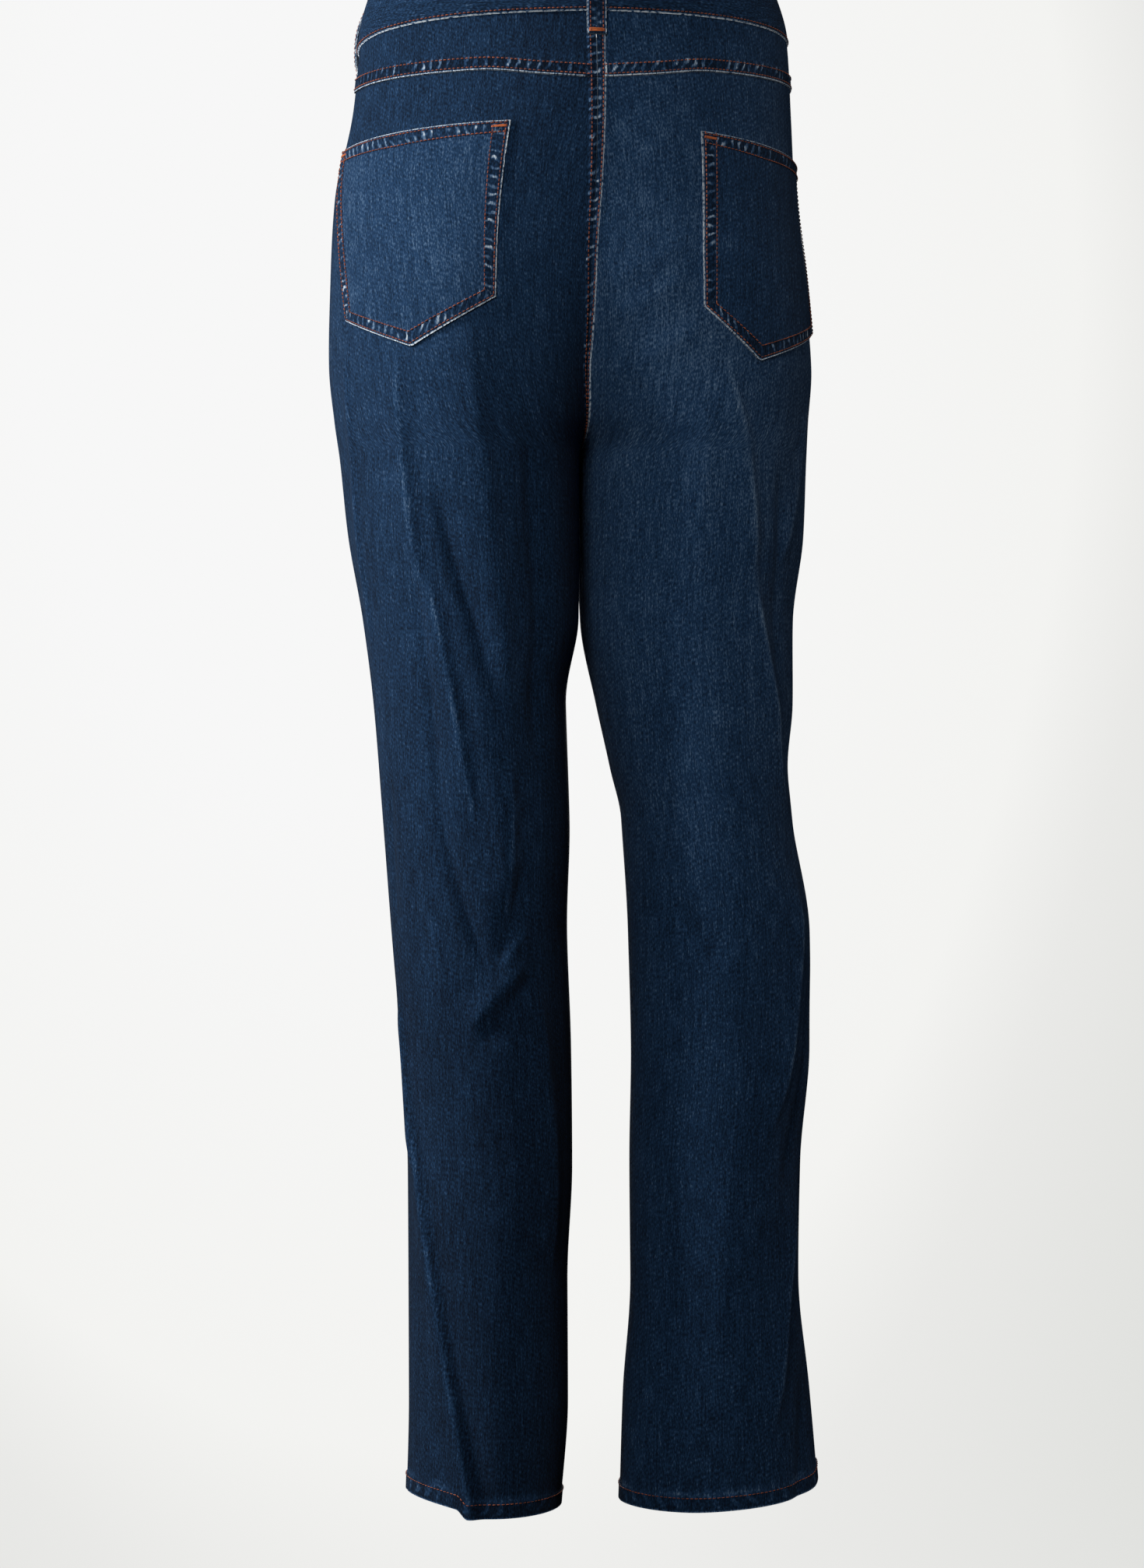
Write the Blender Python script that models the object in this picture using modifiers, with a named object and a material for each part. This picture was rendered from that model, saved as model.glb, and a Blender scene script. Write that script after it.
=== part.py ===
"""Slim jeans with a high waist, filled out and hollow, as they hang from the waist.

Metres, +Z up. The front faces -Y and the wearer's left is +X. The origin is the centre of
the waist opening, at the height of the waistband.
"""

import bmesh
import bpy
import numpy as np
from mathutils import Vector

# Cloth and seams
DENIM = 0.0016
SEAM_GAP = 0.0003
HALF_GAP = SEAM_GAP / 2
# Layers laid on each other are a little further apart, because their flat facets differ
LAYER_GAP = 0.0006
FACING_GAP = 0.0009
HEM_HEIGHT = 0.011
HEM_OUTSIDE = 0.0004
HEM_INSIDE = 0.0032

# Waistband, a folded strip with a stiffener
BAND_HEIGHT = 0.040
BAND_OUTSIDE = 0.0008
BAND_WALL = 0.0030
BAND_OVERLAP = 0.012
BAND_UNDERLAP = 0.030

# Belt loops
LOOP_WIDTH = 0.011
LOOP_WALL = 0.0020
LOOP_BELOW_BAND = 0.018
LOOP_BOW = 0.0028

# Front: scooped pocket mouths, fly, zip and button
SCOOP_WIDTH = 0.19
SCOOP_DEPTH = 0.075
FACING_BEYOND = 0.035
FLY_BOTTOM = -0.205
BUTTON_RADIUS = 0.0085
BUTTON_HEIGHT = 0.0045

# The garment's left and right edges sit a little lower and higher than level
LEAN = 0.0045
CROTCH = -0.325

# Rings of the body above the crotch. Each side is one round lobe: reach is how far it goes
# from the middle, split how far the two lobes have parted (0 one ellipse, 1 two legs),
# hollow how deep the valley between them is.
TORSO_COLUMNS = (
    "height", "reach_left", "reach_right", "split", "centre_y", "back", "front",
    "hollow_back", "hollow_front", "seam_shift",
)
TORSO = (
    (0.030, 0.134, 0.140, 0.00, 0.000, 0.080, 0.098, 0.00, 0.00, 0.000),
    (-0.020, 0.151, 0.156, 0.02, 0.000, 0.085, 0.105, 0.00, 0.00, 0.000),
    (-0.080, 0.157, 0.160, 0.15, -0.006, 0.108, 0.110, 0.10, 0.05, 0.002),
    (-0.140, 0.168, 0.163, 0.40, -0.012, 0.125, 0.112, 0.20, 0.15, 0.005),
    (-0.200, 0.172, 0.167, 0.65, -0.005, 0.130, 0.112, 0.30, 0.35, 0.009),
    (-0.260, 0.174, 0.170, 0.83, 0.003, 0.125, 0.108, 0.60, 0.60, 0.008),
    (-0.300, 0.171, 0.166, 0.92, 0.010, 0.117, 0.103, 0.85, 0.85, 0.003),
    (CROTCH, 0.168, 0.164, 1.00, 0.014, 0.111, 0.098, 1.00, 1.00, 0.000),
)

# Rings of each leg below the crotch
LEG_COLUMNS = ("height", "centre_x", "half_width", "centre_y", "back", "front")
LEFT_LEG = (
    (-0.380, 0.082, 0.081, 0.020, 0.101, 0.088),
    (-0.440, 0.078, 0.0755, 0.027, 0.093, 0.081),
    (-0.500, 0.080, 0.067, 0.035, 0.086, 0.075),
    (-0.580, 0.077, 0.065, 0.045, 0.077, 0.070),
    (-0.660, 0.076, 0.061, 0.053, 0.069, 0.066),
    (-0.740, 0.072, 0.059, 0.058, 0.064, 0.064),
    (-0.820, 0.070, 0.057, 0.062, 0.063, 0.062),
    (-0.900, 0.072, 0.055, 0.065, 0.063, 0.062),
    (-0.980, 0.072, 0.055, 0.067, 0.063, 0.062),
    (-1.060, 0.076, 0.053, 0.068, 0.063, 0.062),
)
RIGHT_LEG = (
    (-0.380, 0.081, 0.080, 0.020, 0.101, 0.088),
    (-0.440, 0.077, 0.075, 0.027, 0.093, 0.081),
    (-0.500, 0.081, 0.069, 0.035, 0.086, 0.075),
    (-0.545, 0.083, 0.062, 0.041, 0.081, 0.072),
    (-0.580, 0.088, 0.060, 0.045, 0.077, 0.070),
    (-0.660, 0.095, 0.064, 0.053, 0.069, 0.066),
    (-0.740, 0.095, 0.063, 0.058, 0.064, 0.064),
    (-0.820, 0.090, 0.060, 0.062, 0.062, 0.061),
    (-0.900, 0.089, 0.059, 0.065, 0.060, 0.059),
    (-0.980, 0.090, 0.066, 0.067, 0.056, 0.056),
    (-1.060, 0.092, 0.071, 0.068, 0.053, 0.053),
)

# Seam lines: height at a place round one side, 0 at the centre back or inseam, 0.5 at the
# side seam, 1 at the centre front or inseam
LINE_COLUMNS = ("round", "height")
WAIST_SEAM = ((0.0, -0.0195), (0.20, -0.0215), (0.35, -0.025), (0.5, -0.031), (0.75, -0.040), (1.0, -0.045))
YOKE_SEAM = ((0.0, -0.0685), (0.08, -0.066), (0.18, -0.0615), (0.33, -0.0615), (0.5, -0.0625))
LEFT_HEM = (
    (0.0, -1.052), (0.20, -1.0535), (0.31, -1.054), (0.335, -1.0475),
    (0.5, -1.043), (0.75, -1.045), (1.0, -1.052),
)
RIGHT_HEM = ((0.0, -1.055), (0.17, -1.057), (0.263, -1.055), (0.42, -1.047), (0.5, -1.040), (0.75, -1.045), (1.0, -1.055))

# Back pockets: corners as round and height
POCKET_COLUMNS = ("inner_top", "outer_top", "outer_bottom", "point", "inner_bottom")
LEFT_POCKET = ((0.129, -0.101), (0.485, -0.109), (0.426, -0.234), (0.303, -0.258), (0.169, -0.225))
RIGHT_POCKET = ((0.157, -0.104), (0.490, -0.114), (0.425, -0.236), (0.264, -0.264), (0.175, -0.228))

# Largest folds: ridges are positive, valleys negative. Each runs from top to low, with its
# middle bowed sideways, and fades at both ends.
FOLD_COLUMNS = ("side", "round_top", "top", "round_low", "low", "bow", "height", "width")
FOLDS = (
    (1, 0.42, -0.265, 0.485, -0.470, 0.003, 0.0020, 0.008),
    (1, 0.33, -0.285, 0.340, -0.450, 0.002, 0.0040, 0.012),
    (1, 0.34, -0.415, 0.292, -0.560, 0.004, 0.0040, 0.011),
    (1, 0.312, -0.330, 0.268, -0.520, 0.000, -0.0045, 0.012),
    (1, 0.335, -0.500, 0.292, -0.680, 0.012, -0.0035, 0.011),
    (1, 0.280, -0.490, 0.222, -0.640, 0.000, 0.0030, 0.011),
    (1, 0.180, -0.665, 0.240, -0.692, 0.000, 0.0030, 0.008),
    (1, 0.195, -0.688, 0.305, -0.738, 0.006, 0.0035, 0.009),
    (1, 0.250, -0.672, 0.340, -0.700, 0.000, -0.0030, 0.009),
    (1, 0.480, -0.690, 0.450, -0.830, 0.004, 0.0030, 0.010),
    (1, 0.470, -0.780, 0.325, -1.140, 0.000, 0.0050, 0.012),
    (1, 0.290, -0.900, 0.290, -1.120, 0.000, -0.0030, 0.014),
    (-1, 0.275, -0.315, 0.315, -0.440, 0.003, 0.0040, 0.012),
    (-1, 0.305, -0.410, 0.405, -0.570, 0.006, 0.0040, 0.011),
    (-1, 0.370, -0.275, 0.310, -0.440, 0.002, 0.0025, 0.010),
    (-1, 0.125, -0.640, 0.225, -0.680, 0.000, -0.0030, 0.012),
    (-1, 0.385, -0.625, 0.310, -0.800, 0.006, 0.0035, 0.011),
    (-1, 0.415, -0.835, 0.305, -1.010, 0.004, 0.0035, 0.011),
    (-1, 0.400, -0.980, 0.340, -1.120, 0.000, -0.0030, 0.012),
    (1, 0.930, -0.300, 0.700, -0.255, 0.000, 0.0025, 0.009),
    (1, 0.930, -0.340, 0.680, -0.345, 0.000, -0.0025, 0.010),
    (1, 0.620, -0.650, 0.860, -0.695, 0.000, -0.0030, 0.010),
    (1, 0.640, -0.740, 0.850, -0.690, 0.000, 0.0030, 0.010),
    (1, 0.600, -0.940, 0.860, -0.985, 0.000, -0.0030, 0.012),
    (-1, 0.930, -0.305, 0.720, -0.250, 0.000, 0.0025, 0.009),
    (-1, 0.930, -0.350, 0.660, -0.330, 0.000, -0.0025, 0.010),
    (-1, 0.640, -0.670, 0.850, -0.640, 0.000, -0.0030, 0.010),
    (-1, 0.620, -0.705, 0.860, -0.730, 0.000, 0.0030, 0.010),
    (-1, 0.880, -0.960, 0.620, -1.005, 0.000, 0.0030, 0.012),
)


def named(table, columns):
    """The table's columns as arrays under their names."""
    return dict(zip(columns, np.array(table, float).T))


def smooth(keys, values, at):
    """Monotone cubic through the keys: slopes are harmonic means, so it never overshoots."""
    gap = np.diff(keys)
    rise = np.diff(values) / gap
    slope = np.zeros_like(values)
    same = rise[:-1] * rise[1:] > 0
    slope[1:-1][same] = 2 / (1 / rise[:-1][same] + 1 / rise[1:][same])
    slope[0] = rise[0]
    slope[-1] = rise[-1]
    cell = np.clip(np.searchsorted(keys, at) - 1, 0, len(keys) - 2)
    h = gap[cell]
    t = (at - keys[cell]) / h
    return (
        values[cell] * (1 + 2 * t) * (1 - t) ** 2
        + slope[cell] * h * t * (1 - t) ** 2
        + values[cell + 1] * t * t * (3 - 2 * t)
        + slope[cell + 1] * h * t * t * (t - 1)
    )


def ease(t):
    """0 to 1 with level ends."""
    t = np.clip(t, 0, 1)
    return t * t * (3 - 2 * t)


def side_rings(side):
    """Ring sizes of one side from hem to waist, the lowest first."""
    torso = named(TORSO, TORSO_COLUMNS)
    leg = named(LEFT_LEG if side > 0 else RIGHT_LEG, LEG_COLUMNS)
    none = 0 * leg["height"]
    rings = {
        "height": (torso["height"], leg["height"]),
        "reach": (torso["reach_left" if side > 0 else "reach_right"], leg["centre_x"] + leg["half_width"]),
        "split": (torso["split"], leg["centre_x"] / leg["half_width"]),
        "seam_shift": (torso["seam_shift"], none),
        "hollow_back": (torso["hollow_back"], none + 1),
        "hollow_front": (torso["hollow_front"], none + 1),
    }
    for size in ("centre_y", "back", "front"):
        rings[size] = (torso[size], leg[size])
    return {size: np.concatenate(parts)[::-1] for size, parts in rings.items()}


RINGS = {1: side_rings(1), -1: side_rings(-1)}


def ring(side, z):
    """Sizes of the ring at height z, and the angle from its side seam to its inner edge."""
    table = RINGS[side]
    sizes = {size: smooth(table["height"], table[size], z) for size in table if size != "height"}
    sizes["half_width"] = sizes["reach"] / (1 + sizes["split"])
    sizes["widest"] = np.arccos(-np.minimum(sizes["split"], 1.0))
    return sizes


def bare_point(side, angle, z):
    """Point on the unfolded surface: angle 0 at the side seam, positive to the back."""
    r = ring(side, z)
    x = HALF_GAP + r["half_width"] * (r["split"] + np.cos(angle))
    depth = np.where(angle > 0, r["back"], r["front"])
    hollow = np.where(angle > 0, r["hollow_back"], r["hollow_front"])
    bulge = np.sin(np.abs(angle))
    bulge = np.where(np.abs(angle) > np.pi / 2, 1 - (1 - bulge) * hollow, bulge)
    y = r["centre_y"] + depth * np.sign(angle) * bulge
    shift = r["seam_shift"] * np.sin(np.pi / 2 * np.clip(angle / r["widest"], 0, 1)) ** 3
    return np.stack([side * x + shift, y, z + 0 * angle], axis=-1)


def outward(side, angle, z):
    """Unit normal of the unfolded surface, from differences along the ring and up it."""
    step = 1e-4
    along = bare_point(side, angle + step, z) - bare_point(side, angle - step, z)
    up = bare_point(side, angle, z + step) - bare_point(side, angle, z - step)
    n = np.cross(along, up) * side
    return n / np.linalg.norm(n, axis=-1, keepdims=True)


def half_girth(side, z):
    """Length round one side's ring, from its inner back edge to its inner front edge."""
    r = ring(side, z)
    depth = (r["back"] + r["front"]) / 2
    return 2 * r["widest"] * np.sqrt((r["half_width"] ** 2 + depth ** 2) / 2)


def fold_lift(side, around, z):
    """Sum of the folds at a place: each a bell across its path, which fades at its ends."""
    lift = 0 * z
    x = (around - 0.5) * half_girth(side, z)
    for fold in FOLDS:
        f = dict(zip(FOLD_COLUMNS, fold))
        if f["side"] != side:
            continue
        ends = np.array([f["top"], f["low"]])
        start, stop = (np.array([f["round_top"], f["round_low"]]) - 0.5) * half_girth(side, ends)
        run = np.array([stop - start, f["low"] - f["top"]])
        length = np.hypot(run[0], run[1])
        t = ((x - start) * run[0] + (z - f["top"]) * run[1]) / length ** 2
        across = ((x - start) * run[1] - (z - f["top"]) * run[0]) / length
        across = across + f["bow"] * 4 * t * (1 - t)
        fade = ease(t / 0.25) * ease((1 - t) / 0.25)
        lift = lift + f["height"] * np.exp(-((across / f["width"]) ** 2)) * fade
    return lift * ease(np.minimum(around, 1 - around) / 0.06)


def cloth_point(side, around, z, lift):
    """Point of the garment: around is 0 to 1 from the back edge to the front edge of one side,
    lift is how far out of the cloth's outer face it lies."""
    around, z, lift = np.broadcast_arrays(around, z, lift)
    angle = ring(side, z)["widest"] * (1 - 2 * around)
    out = lift + fold_lift(side, around, z)
    return bare_point(side, angle, z) + outward(side, angle, z) * out[..., None]


def seam_height(table, side, around):
    """Height of a seam line, with one side lower and the other higher."""
    line = named(table, LINE_COLUMNS)
    return smooth(line["round"], line["height"], around) - side * LEAN * np.sin(np.pi * around)


def hem_height(side, around):
    line = named(LEFT_HEM if side > 0 else RIGHT_HEM, LINE_COLUMNS)
    return smooth(line["round"], line["height"], around)


def whole_waist_point(place, z, lift):
    """Point all round the waist: 0 at the centre front, 1 at the centre back, 2 at the front
    again, from the wearer's left to the right. It carries on past both ends."""
    place, z, lift = np.broadcast_arrays(place, z, lift)
    on_left = (place >= 0) & (place <= 1) | (place > 2)
    left_round = np.where(place > 2, 3 - place, 1 - place)
    right_round = np.where(place < 0, 1 + place, place - 1)
    left = cloth_point(1, np.clip(left_round, 0, 1), z, lift)
    right = cloth_point(-1, np.clip(right_round, 0, 1), z, lift)
    return np.where(on_left[..., None], left, right)


def waist_seam_all_round(place):
    """Height of the waist seam at the same places."""
    on_left = (place >= 0) & (place <= 1) | (place > 2)
    left_round = np.clip(np.where(place > 2, 3 - place, 1 - place), 0, 1)
    right_round = np.clip(np.where(place < 0, 1 + place, place - 1), 0, 1)
    left = seam_height(WAIST_SEAM, 1, left_round)
    right = seam_height(WAIST_SEAM, -1, right_round)
    return np.where(on_left, left, right)


def centre_front_point(distance, z, lift):
    """Point at a distance left (+) or right (-) of the centre front line."""
    distance, z, lift = np.broadcast_arrays(distance, z, lift)
    left = cloth_point(1, 1 - np.abs(distance) / half_girth(1, z), z, lift)
    right = cloth_point(-1, 1 - np.abs(distance) / half_girth(-1, z), z, lift)
    return np.where((distance >= 0)[..., None], left, right)


def finish(name, colour, roughness=0.85, metallic=0.0):
    """A plain surface material."""
    material = bpy.data.materials.new(name)
    material.use_nodes = True
    shader = material.node_tree.nodes["Principled BSDF"]
    shader.inputs["Base Color"].default_value = (*colour, 1)
    shader.inputs["Roughness"].default_value = roughness
    shader.inputs["Metallic"].default_value = metallic
    material.diffuse_color = (*colour, 1)
    return material


INDIGO = (0.018, 0.045, 0.115)
DARK_INDIGO = (0.010, 0.024, 0.070)
BRASS = (0.45, 0.30, 0.12)


def add_piece(name, mesh, material):
    """Put a mesh in the garment's collection as one named piece."""
    mesh.materials.append(material)
    mesh.shade_smooth()
    piece = bpy.data.objects.new(name, mesh)
    garment.objects.link(piece)
    return piece


def closed_wall(name, outer, inner, material):
    """One closed body between two grids of points: its two faces and the rim between them."""
    rows, columns = outer.shape[:2]
    index = np.arange(rows * columns).reshape(rows, columns)
    face = np.stack([index[:-1, :-1], index[1:, :-1], index[1:, 1:], index[:-1, 1:]], -1).reshape(-1, 4)
    rim = np.concatenate([index[0], index[1:, -1], index[-1, -2::-1], index[-2:0:-1, 0]])
    after = np.roll(rim, -1)
    count = rows * columns
    band = np.stack([rim, after, after + count, rim + count], -1)
    faces = np.concatenate([face, face[:, ::-1] + count, band])
    points = np.concatenate([outer.reshape(-1, 3), inner.reshape(-1, 3)])
    mesh = bpy.data.meshes.new(name)
    mesh.from_pydata(points.tolist(), [], faces.tolist())
    shape = bmesh.new()
    shape.from_mesh(mesh)
    bmesh.ops.recalc_face_normals(shape, faces=shape.faces)
    shape.to_mesh(mesh)
    shape.free()
    return add_piece(name, mesh, material)


def grid(down, across):
    """Two arrays over a grid of rows (down) and columns (across), both 0 to 1."""
    return np.meshgrid(down, across, indexing="ij")


def mix(a, b, t):
    return a + (b - a) * t


# Start from an empty scene
for old in list(bpy.data.objects):
    bpy.data.objects.remove(old, do_unlink=True)
garment = bpy.data.collections.new("slim_jeans")
bpy.context.scene.collection.children.link(garment)
SIDE_NAMES = {1: "left", -1: "right"}


# Leg panels: from their top seam down the leg to the turned hem
def leg_heights(top, hem):
    """Rows of a leg panel: close over the seat, closer still at the crotch, then even down the leg."""
    hip, seat, ankle = -0.140, -0.260, -1.000
    rows = [mix(top, hip, t) for t in np.linspace(0, 1, 5)[:-1]]
    rows += [mix(hip, seat, t) + 0 * top for t in np.linspace(0, 1, 9)[:-1]]
    rows += [mix(CROTCH, seat, (1 - t) ** 2) + 0 * top for t in np.linspace(0, 1, 6)[:-1]]
    rows += [mix(CROTCH, ankle, t) + 0 * top for t in np.linspace(0, 1, 23)]
    rows += [hem + HEM_HEIGHT + 0.0006, hem + HEM_HEIGHT, hem]
    return np.stack(rows)


def leg_panel(name, side, around, top):
    """A panel whose last two rows are the thicker hem."""
    z = leg_heights(top, hem_height(side, around))
    around = np.broadcast_to(around, z.shape)
    # Half the seam gap comes off each long edge
    inset = HALF_GAP / half_girth(side, z)
    around = np.clip(around, around.min() + inset, around.max() - inset)
    outside = np.zeros(z.shape)
    outside[-2:] = HEM_OUTSIDE
    inside = np.full(z.shape, -DENIM)
    inside[-2:] = -HEM_INSIDE
    closed_wall(
        name,
        cloth_point(side, around, z, outside),
        cloth_point(side, around, z, inside),
        finish(name + "_denim", INDIGO),
    )


for side, word in SIDE_NAMES.items():
    back = np.linspace(0, 0.5, 17)
    leg_panel("back_panel_" + word, side, back, seam_height(YOKE_SEAM, side, back) - HALF_GAP)
    # The pocket mouth is a quarter of an ellipse, closer columns where it is steep
    scoop = 0.5 + SCOOP_WIDTH * np.sin(np.linspace(0, np.pi / 2, 6))
    front = np.concatenate([scoop, np.linspace(0.5 + SCOOP_WIDTH, 1, 7)[1:]])
    drop = np.sqrt(np.clip(1 - ((front - 0.5) / SCOOP_WIDTH) ** 2, 0, 1))
    mouth = seam_height(WAIST_SEAM, side, front) - SCOOP_DEPTH * drop - HALF_GAP
    leg_panel("front_panel_" + word, side, front, mouth)


# Yokes, between the waistband and the back panels
for side, word in SIDE_NAMES.items():
    t, around = grid(np.linspace(0, 1, 4), np.linspace(0, 0.5, 13))
    top = seam_height(WAIST_SEAM, side, around) - HALF_GAP
    low = seam_height(YOKE_SEAM, side, around) + HALF_GAP
    z = mix(top, low, t)
    inset = HALF_GAP / half_girth(side, z)
    around = np.clip(around, inset, 0.5 - inset)
    closed_wall(
        "yoke_" + word,
        cloth_point(side, around, z, 0.0),
        cloth_point(side, around, z, -DENIM),
        finish("yoke_%s_denim" % word, INDIGO),
    )


# Front pocket facings, one cloth thickness behind the mouths
for side, word in SIDE_NAMES.items():
    wide = SCOOP_WIDTH + FACING_BEYOND + 0.02
    t, around = grid(np.linspace(0, 1, 5), 0.5 + (wide - 0.02) * np.sin(np.linspace(0, np.pi / 2, 10)))
    top = seam_height(WAIST_SEAM, side, around) - HALF_GAP
    reach = SCOOP_DEPTH + 0.022
    z = mix(top, top - reach * np.sqrt(1 - ((around - 0.5) / wide) ** 2), t)
    around = np.maximum(around, 0.5 + HALF_GAP / half_girth(side, z))
    closed_wall(
        "pocket_facing_" + word,
        cloth_point(side, around, z, -DENIM - FACING_GAP),
        cloth_point(side, around, z, -2 * DENIM - FACING_GAP),
        finish("pocket_facing_%s_denim" % word, DARK_INDIGO),
    )


# Back pockets, laid on the back panels
def back_pocket(name, side, corners):
    """Five-sided patch: straight sides, a slanted top and a pointed bottom."""
    c = dict(zip(POCKET_COLUMNS, corners))
    tip = (c["point"][0] - c["inner_bottom"][0]) / (c["outer_bottom"][0] - c["inner_bottom"][0])
    columns = np.concatenate([np.linspace(0, tip, 7), np.linspace(tip, 1, 7)[1:]])
    t, u = grid(np.linspace(0, 1, 13), columns)
    bottom = np.interp(u, [0, tip, 1], [c["inner_bottom"][1], c["point"][1], c["outer_bottom"][1]])
    z = mix(mix(c["inner_top"][1], c["outer_top"][1], u), bottom, t)
    inner = mix(c["inner_top"][0], c["inner_bottom"][0], t)
    outer = mix(c["outer_top"][0], c["outer_bottom"][0], t)
    around = mix(inner, outer, u)
    closed_wall(
        name,
        cloth_point(side, around, z, LAYER_GAP + DENIM),
        cloth_point(side, around, z, LAYER_GAP),
        finish(name + "_denim", INDIGO),
    )


back_pocket("back_pocket_left", 1, LEFT_POCKET)
back_pocket("back_pocket_right", -1, RIGHT_POCKET)


# Waistband: one strip from the outer front end round the back to the end underneath
waist_girth = float(half_girth(1, np.array(-0.020)))
first = -BAND_OVERLAP / waist_girth
last = 2 + BAND_UNDERLAP / waist_girth
t, place = grid(np.linspace(0, 1, 4), np.linspace(first, last, 57))
z = waist_seam_all_round(place) + mix(BAND_HEIGHT, HALF_GAP, t)
under = -(BAND_WALL + SEAM_GAP) * ease((place - (2 + first - 0.13)) / 0.10)
closed_wall(
    "waistband",
    whole_waist_point(place, z, BAND_OUTSIDE + under),
    whole_waist_point(place, z, BAND_OUTSIDE - BAND_WALL + under),
    finish("waistband_denim", INDIGO),
)


# Belt loops: ends sewn down, the middle standing off the band
LOOP_PLACES = (
    ("belt_loop_back", 1.0),
    ("belt_loop_side_left", 0.40),
    ("belt_loop_side_right", 1.60),
    ("belt_loop_front_left", 0.20),
    ("belt_loop_front_right", 1.80),
)
for name, middle in LOOP_PLACES:
    half = LOOP_WIDTH / 2 / waist_girth
    t, place = grid(np.linspace(0, 1, 10), middle + half * np.linspace(-1, 1, 3))
    z = waist_seam_all_round(np.full(place.shape, middle)) + mix(-LOOP_BELOW_BAND, BAND_HEIGHT - 0.001, t)
    over_band = ease((t - 0.16) / 0.12) * (BAND_OUTSIDE + SEAM_GAP)
    stand_off = SEAM_GAP + over_band + LOOP_BOW * np.sin(np.pi * np.clip((t - 0.18) / 0.80, 0, 1))
    closed_wall(
        name,
        whole_waist_point(place, z, stand_off + LOOP_WALL),
        whole_waist_point(place, z, stand_off),
        finish(name + "_denim", INDIGO),
    )


# Behind the fly, from the outside in: slider, zip tape, shield
def fly_strip(name, heights, half_widths, outside, inside, material, middle=0.0):
    """A strip down the centre front, given row by row."""
    heights = np.asarray(heights)[:, None]
    half_widths = np.asarray(half_widths)[:, None]
    distance = middle + half_widths * np.linspace(-1, 1, 5)[None, :]
    closed_wall(
        name,
        centre_front_point(distance, heights + 0 * distance, outside),
        centre_front_point(distance, heights + 0 * distance, inside),
        material,
    )


fly_top = float(seam_height(WAIST_SEAM, 1, np.array(1.0))) - SEAM_GAP
slider_top = fly_top - 0.006
fly_strip(
    "zip_slider",
    slider_top - np.array([0.0, 0.006, 0.011, 0.0115, 0.020, 0.030]),
    (0.0032, 0.0040, 0.0036, 0.0022, 0.0026, 0.0026),
    -DENIM - SEAM_GAP,
    -DENIM - SEAM_GAP - 0.0025,
    finish("zip_slider_brass", BRASS, 0.35, 1.0),
)
fly_rows = np.linspace(fly_top, FLY_BOTTOM, 12)
fly_strip(
    "zip_tape",
    fly_rows[:-1],
    np.full(11, 0.014),
    -DENIM - 2 * SEAM_GAP - 0.0025,
    -DENIM - 2 * SEAM_GAP - 0.0035,
    finish("zip_tape_cotton", DARK_INDIGO),
)
fly_strip(
    "fly_shield",
    fly_rows,
    np.full(12, 0.021),
    -DENIM - 3 * SEAM_GAP - 0.0035,
    -2 * DENIM - 3 * SEAM_GAP - 0.0035,
    finish("fly_shield_denim", DARK_INDIGO),
    0.001,
)


# Waist button: a turned shank button over the band's outer end
BUTTON_PROFILE = (
    (0.0, 1.0),
    (0.62, 0.93),
    (0.90, 0.78),
    (1.0, 0.52),
    (0.97, 0.30),
    (0.60, 0.0),
    (0.0, 0.0),
)
profile = bpy.data.meshes.new("waist_button")
profile.from_pydata(
    [(r * BUTTON_RADIUS, 0, h * BUTTON_HEIGHT) for r, h in BUTTON_PROFILE],
    [(i, i + 1) for i in range(len(BUTTON_PROFILE) - 1)],
    [],
)
button = add_piece("waist_button", profile, finish("waist_button_brass", BRASS, 0.35, 1.0))
turn = button.modifiers.new("turned", "SCREW")
turn.angle = 2 * np.pi
turn.steps = 24
turn.render_steps = 24
turn.use_merge_vertices = True
turn.merge_threshold = 0.00001
band_middle = fly_top + SEAM_GAP + BAND_HEIGHT / 2
seat = whole_waist_point(np.array(0.0), np.array(band_middle), np.array(BAND_OUTSIDE + SEAM_GAP + 0.0001))
button.location = seat
facing = outward(1, np.array(-np.pi / 2), np.array(band_middle))
button.rotation_mode = "QUATERNION"
button.rotation_quaternion = Vector(facing).to_track_quat("Z", "Y")
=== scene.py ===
"""Slim jeans in dark stretch denim, filled out and hollow, seen from behind.

Metres, +Z up, front towards -Y, wearer's left +X, origin at the middle of the waist opening.
"""

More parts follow.
